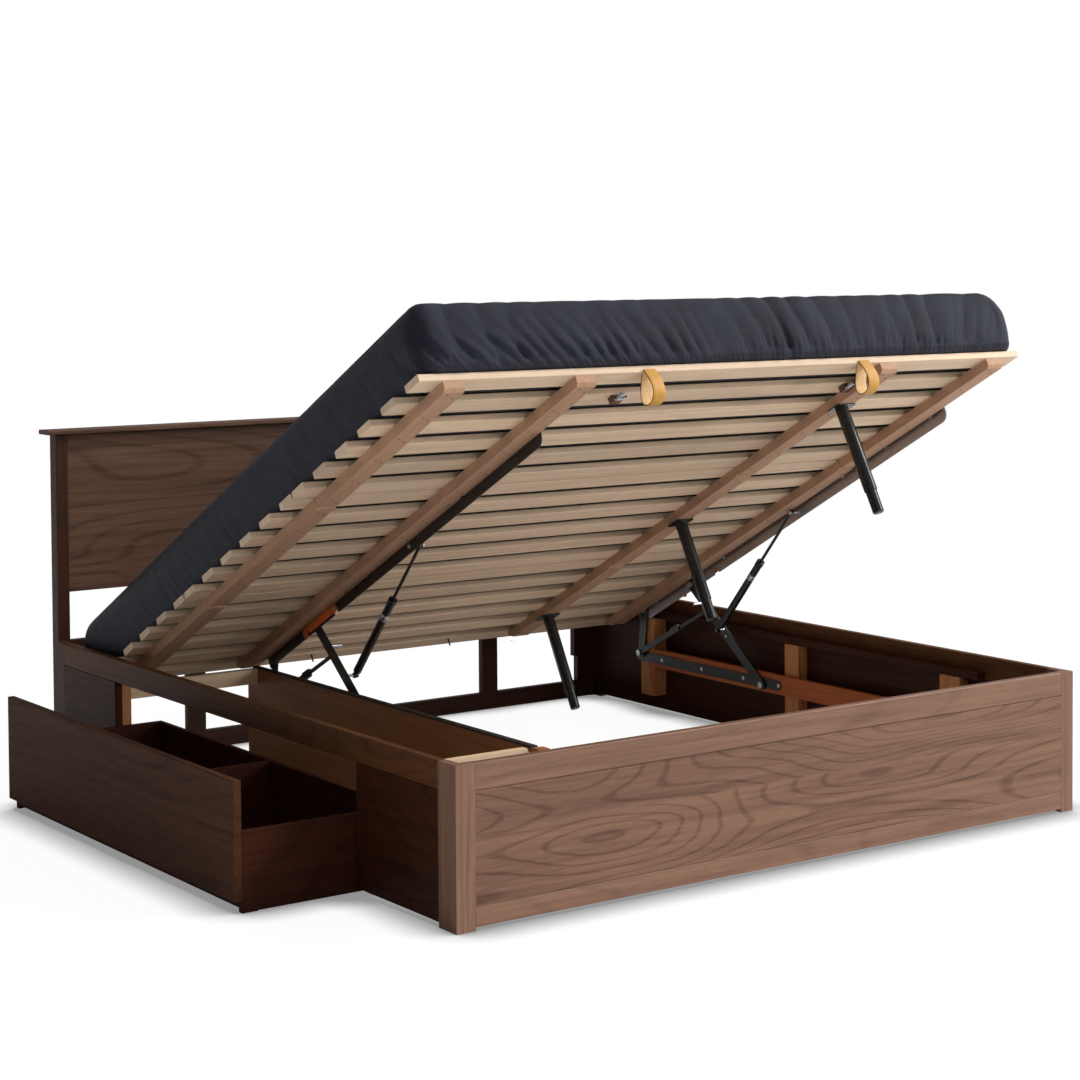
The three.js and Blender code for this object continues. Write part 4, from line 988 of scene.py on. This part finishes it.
class BED_OT_boards(bpy.types.Operator):
    """Gives the frame's walnut boards, the drawer and the inner posts their wood"""

    bl_idname = "bed.boards"
    bl_label = "Boards"

    def execute(self, context):
        colours = context.scene.bed_colours
        # Painted shade: the side walnut's darker colours stand in for the shade on the sides
        painted_shade_side_light, painted_shade_side_dark = tuple(colours.side_painted_shade_light), tuple(colours.side_painted_shade_dark)
        side = wood("walnut_side", painted_shade_side_light, painted_shade_side_dark, "Y", 0.45, 0.8, rings=40.0, shine=0.1)
        self.ends(colours)
        self.sides(colours, side)
        self.inner_posts(colours, side)
        self.drawer(colours)
        return {"FINISHED"}

    def ends(self, colours):
        """The foot end and the headboard's panel and cap."""
        light, dark = tuple(colours.walnut_light), tuple(colours.walnut_dark)
        rail = wood("walnut_foot_rail", light, dark, "X", 0.42, 0.4, shift=3.0)
        panel = wood("walnut_foot_panel", light, dark, "X", 0.42, 1.0, board=(2, FOOT_BOARD),
                     rings=52.0, shine=0.2)
        post = wood("walnut_foot_post", light, dark, "Z", 0.42, 0.4)
        # Painted shade: the headboard is the foot's walnut darkened to 0.6 and 0.4 for the shade it
        # lies in
        head = wood("walnut_headboard", toned(light, 0.60), toned(dark, 0.40), "X", 0.45, 0.75,
                    shift=1.3, rings=30.0, shine=0.12)
        dress(["foot_top_rail", "foot_bottom_rail"], [rail])
        dress(["foot_panel"], [panel], 0.4 * MM)
        dress(["foot_left_post", "foot_right_post"], [post])
        dress(["headboard_panel", "headboard_cap"], [head])

    def sides(self, colours, side):
        """The side panels, the headboard's posts and the rails between them."""
        # Painted shade: the side panels, headboard posts and head rails take the darkened side walnut
        light, dark = tuple(colours.side_painted_shade_light), tuple(colours.side_painted_shade_dark)
        upright = wood("walnut_upright", light, dark, "Z", 0.5, 0.5)
        cross = wood("walnut_cross", light, dark, "X", 0.5, 0.5)
        dress(["headboard_left_post", "headboard_right_post"], [upright])
        dress(["left_foot_panel", "left_head_panel", "right_panel"], [side])
        dress(["head_middle_rail", "head_lower_frame"], [cross])

    def inner_posts(self, colours, side):
        """The top rails with their ledgers, the mount rail, the cross rails and the divider."""
        # Painted shade: the top rails' colour is walnut darkened for the shaded sides
        light = tuple(colours.side_rail_painted_shade)
        top_rail = wood("walnut_side_rail", light, toned(light, 0.4), "Y", 0.45, 0.8, rings=40.0,
                        shine=0.1)
        beech = tuple(colours.beech)
        post = wood("beech_post", beech, toned(beech, 0.62), "Z", 0.6, 0.5)
        rail = wood("beech_rail", beech, toned(beech, 0.62), "Y", 0.6, 0.5)
        dress(["left_top_rail"], [top_rail, rail], rule=ledger_rule)
        dress(["right_top_rail"], [top_rail, side], rule=ledger_rule)
        orange = linear(184, 104, 58)
        mount = wood("mount_rail_wood", orange, toned(orange, 0.62), "Y", 0.6, 0.5)
        # Painted light: the cross rails' pale wood is made paler still, standing in for the light on
        # them
        painted_light_pale = tuple(colours.cross)
        painted_light_cream = wood("cross_rail_wood", painted_light_pale, toned(painted_light_pale, 0.72), "X", 0.6, 0.5)
        dress(["right_mount_rail"], [post, mount], rule=mount_rule)
        dress(["foot_cross_rail", "head_cross_rail"], [post, painted_light_cream], rule=cross_rule)
        divider = tuple(colours.divider)
        ply = wood("divider_ply", divider, toned(divider, 0.6), "Y", 0.5, 0.7)
        dress(["divider_panel"], [ply])
        dress(["divider_cap"], [plain("edge_trim", linear(30, 29, 30))])

    def drawer(self, colours):
        """The drawer's front and its darker box."""
        # Painted shade: the drawer front's darkened walnut stands in for its shade
        light = tuple(colours.drawer)
        front = wood("walnut_drawer", light, toned(light, 0.4), "Y", 0.5, 0.8, shift=2.0,
                     shine=0.06, rings=40.0)
        warm, warm_dark = linear(74, 36, 22), linear(38, 16, 8)
        inside = wood("drawer_box", warm, warm_dark, "Y", 0.5, 0.5, shine=0.1)
        across = wood("drawer_side", warm, warm_dark, "X", 0.5, 0.5, shine=0.1)
        dress(["drawer_front"], [front])
        dress(["drawer_back", "drawer_bottom"], [inside])
        dress(["drawer_foot_side", "drawer_head_side", "drawer_partition"], [across])


class BED_OT_slats(bpy.types.Operator):
    """Gives the slats and bearers their wood, and adds dark discs of painted shade for the screw
    recesses
    """

    bl_idname = "bed.slats"
    bl_label = "Slats"

    def execute(self, context):
        colours = context.scene.bed_colours
        slat, bearer = tuple(colours.slat), tuple(colours.bearer)
        pine = wood("pine_slat", slat, toned(slat, 0.68), "X", 0.6, 0.45,
                    board=(1, SLAT_PITCH), platform=True, rings=12.0)
        pink = wood("bearer_wood", bearer, toned(bearer, 0.66), "Y", 0.6, 0.5,
                    platform=True, rings=12.0)
        black = plain("peg_plastic", linear(24, 24, 26))

        sections = [f"slatted_section_{name}" for name in ("foot", "middle", "head")]
        dress(sections, [pine, pink, black], 0.8 * MM, section_rule)
        # Painted shade: dark discs stand in for the shade in the screw recesses
        screw_dots([plain("screw_recess", linear(46, 34, 28))])
        return {"FINISHED"}


class BED_OT_steelwork(bpy.types.Operator):
    """Paints the lift's steelwork, legs and catches, and adds the struts' bands"""

    bl_idname = "bed.steelwork"
    bl_label = "Steelwork"

    def execute(self, context):
        colours = context.scene.bed_colours
        black = painted_steel("black_steel_paint", tuple(colours.steel))
        gloss = painted_steel("black_tube_paint", tuple(colours.steel), 0.22)
        bright = zinc("bright_zinc")
        rust = painted_steel("rust_paint", tuple(colours.rust), 0.4)
        brown = plain("brown_plastic", linear(92, 56, 38))

        sides = ("left", "right")
        stays = [f"stay_{piece}_{side}" for piece in ("sleeve", "arm") for side in sides]
        dress([f"base_rail_{side}" for side in sides], [black, bright], 0.4 * MM, base_rule)
        dress([f"upper_rail_{side}" for side in sides], [black, bright], 0.4 * MM, upper_rule)
        dress([f"rear_link_{side}" for side in sides], [black], 0.4 * MM)
        dress([f"main_link_{side}" for side in sides], [black, bright], 0.4 * MM, link_rule)
        dress(stays, [black], 0.3 * MM)
        dress([f"strut_rod_{side}" for side in sides], [black], 0.2 * MM)
        dress([f"strut_cylinder_{side}" for side in sides], [gloss], 0.4 * MM)
        dress([f"leg_tube_{i}" for i in (1, 2, 3)], [gloss], 0.5 * MM)
        dress([f"leg_foot_{i}" for i in (1, 2, 3)], [gloss], 0.5 * MM)
        dress([f"safety_catch_{side}" for side in sides], [rust], 0.3 * MM)

        dress([f"slat_catch_{i}" for i in (1, 2)], [bright, brown], 0.4 * MM, catch_rule)
        strut_bands([bright, gloss])
        return {"FINISHED"}


class BED_OT_mattress(bpy.types.Operator):
    """Makes the mattress that fills the sheet"""

    bl_idname = "bed.mattress"
    bl_label = "Mattress"

    def execute(self, context):
        # Painted shade: the ticking is dark grey so that its underside between the slats reads as
        # shaded
        mattress_piece([cloth("mattress_ticking", linear(44, 41, 40), 1.2 * MM, 0.1)])
        return {"FINISHED"}


class BED_OT_sheet(bpy.types.Operator):
    """Makes the fitted sheet with its gathers and hem"""

    bl_idname = "bed.sheet"
    bl_label = "Fitted sheet"

    def execute(self, context):
        obj = sheet_piece([
            cloth("sheet_weave", tuple(context.scene.bed_colours.sheet), 0.7 * MM, 0.0, 0.45, 0.2),
        ])
        return {"FINISHED"}


class BED_OT_loops(bpy.types.Operator):
    """Makes the two leather pull loops"""

    bl_idname = "bed.loops"
    bl_label = "Pull loops"

    def execute(self, context):
        colours = context.scene.bed_colours
        skins = [leather("loop_leather", tuple(colours.leather)),
                 leather("loop_suede", tuple(colours.suede), 900.0, 0.85),
                 leather("loop_edge", linear(92, 58, 26), 900.0, 0.7)]
        for number, x in enumerate((0.6535, 1.3255), 1):
            loop_piece(number, x, skins)
        return {"FINISHED"}


class BED_PT_panel(bpy.types.Panel):
    """Lists the bed's sizes, colours and making steps"""

    bl_idname = "BED_PT_panel"
    bl_label = "Ottoman bed"
    bl_space_type = "VIEW_3D"
    bl_region_type = "UI"
    bl_category = "Bed"

    def draw(self, context):
        for group in (context.scene.bed_sizes, context.scene.bed_colours):
            column = self.layout.column()
            for name in group.bl_rna.properties.keys():
                if name not in ("rna_type", "name"):
                    column.prop(group, name)
        for step in STEPS:
            self.layout.operator(step.bl_idname)


STEPS = (
    BED_OT_stage, BED_OT_boards, BED_OT_slats, BED_OT_steelwork,
    BED_OT_mattress, BED_OT_sheet, BED_OT_loops,
)
CLASSES = (BedSizes, BedColours, *STEPS, BED_PT_panel)


def register():
    for item in CLASSES:
        bpy.utils.register_class(item)
    bpy.types.Scene.bed_sizes = bpy.props.PointerProperty(type=BedSizes)
    bpy.types.Scene.bed_colours = bpy.props.PointerProperty(type=BedColours)


def unregister():
    del bpy.types.Scene.bed_colours
    del bpy.types.Scene.bed_sizes
    for item in reversed(CLASSES):
        bpy.utils.unregister_class(item)


def main():
    register()
    for step in STEPS:
        group, name = step.bl_idname.split(".")
        getattr(getattr(bpy.ops, group), name)()


if __name__ == "__main__":
    main()
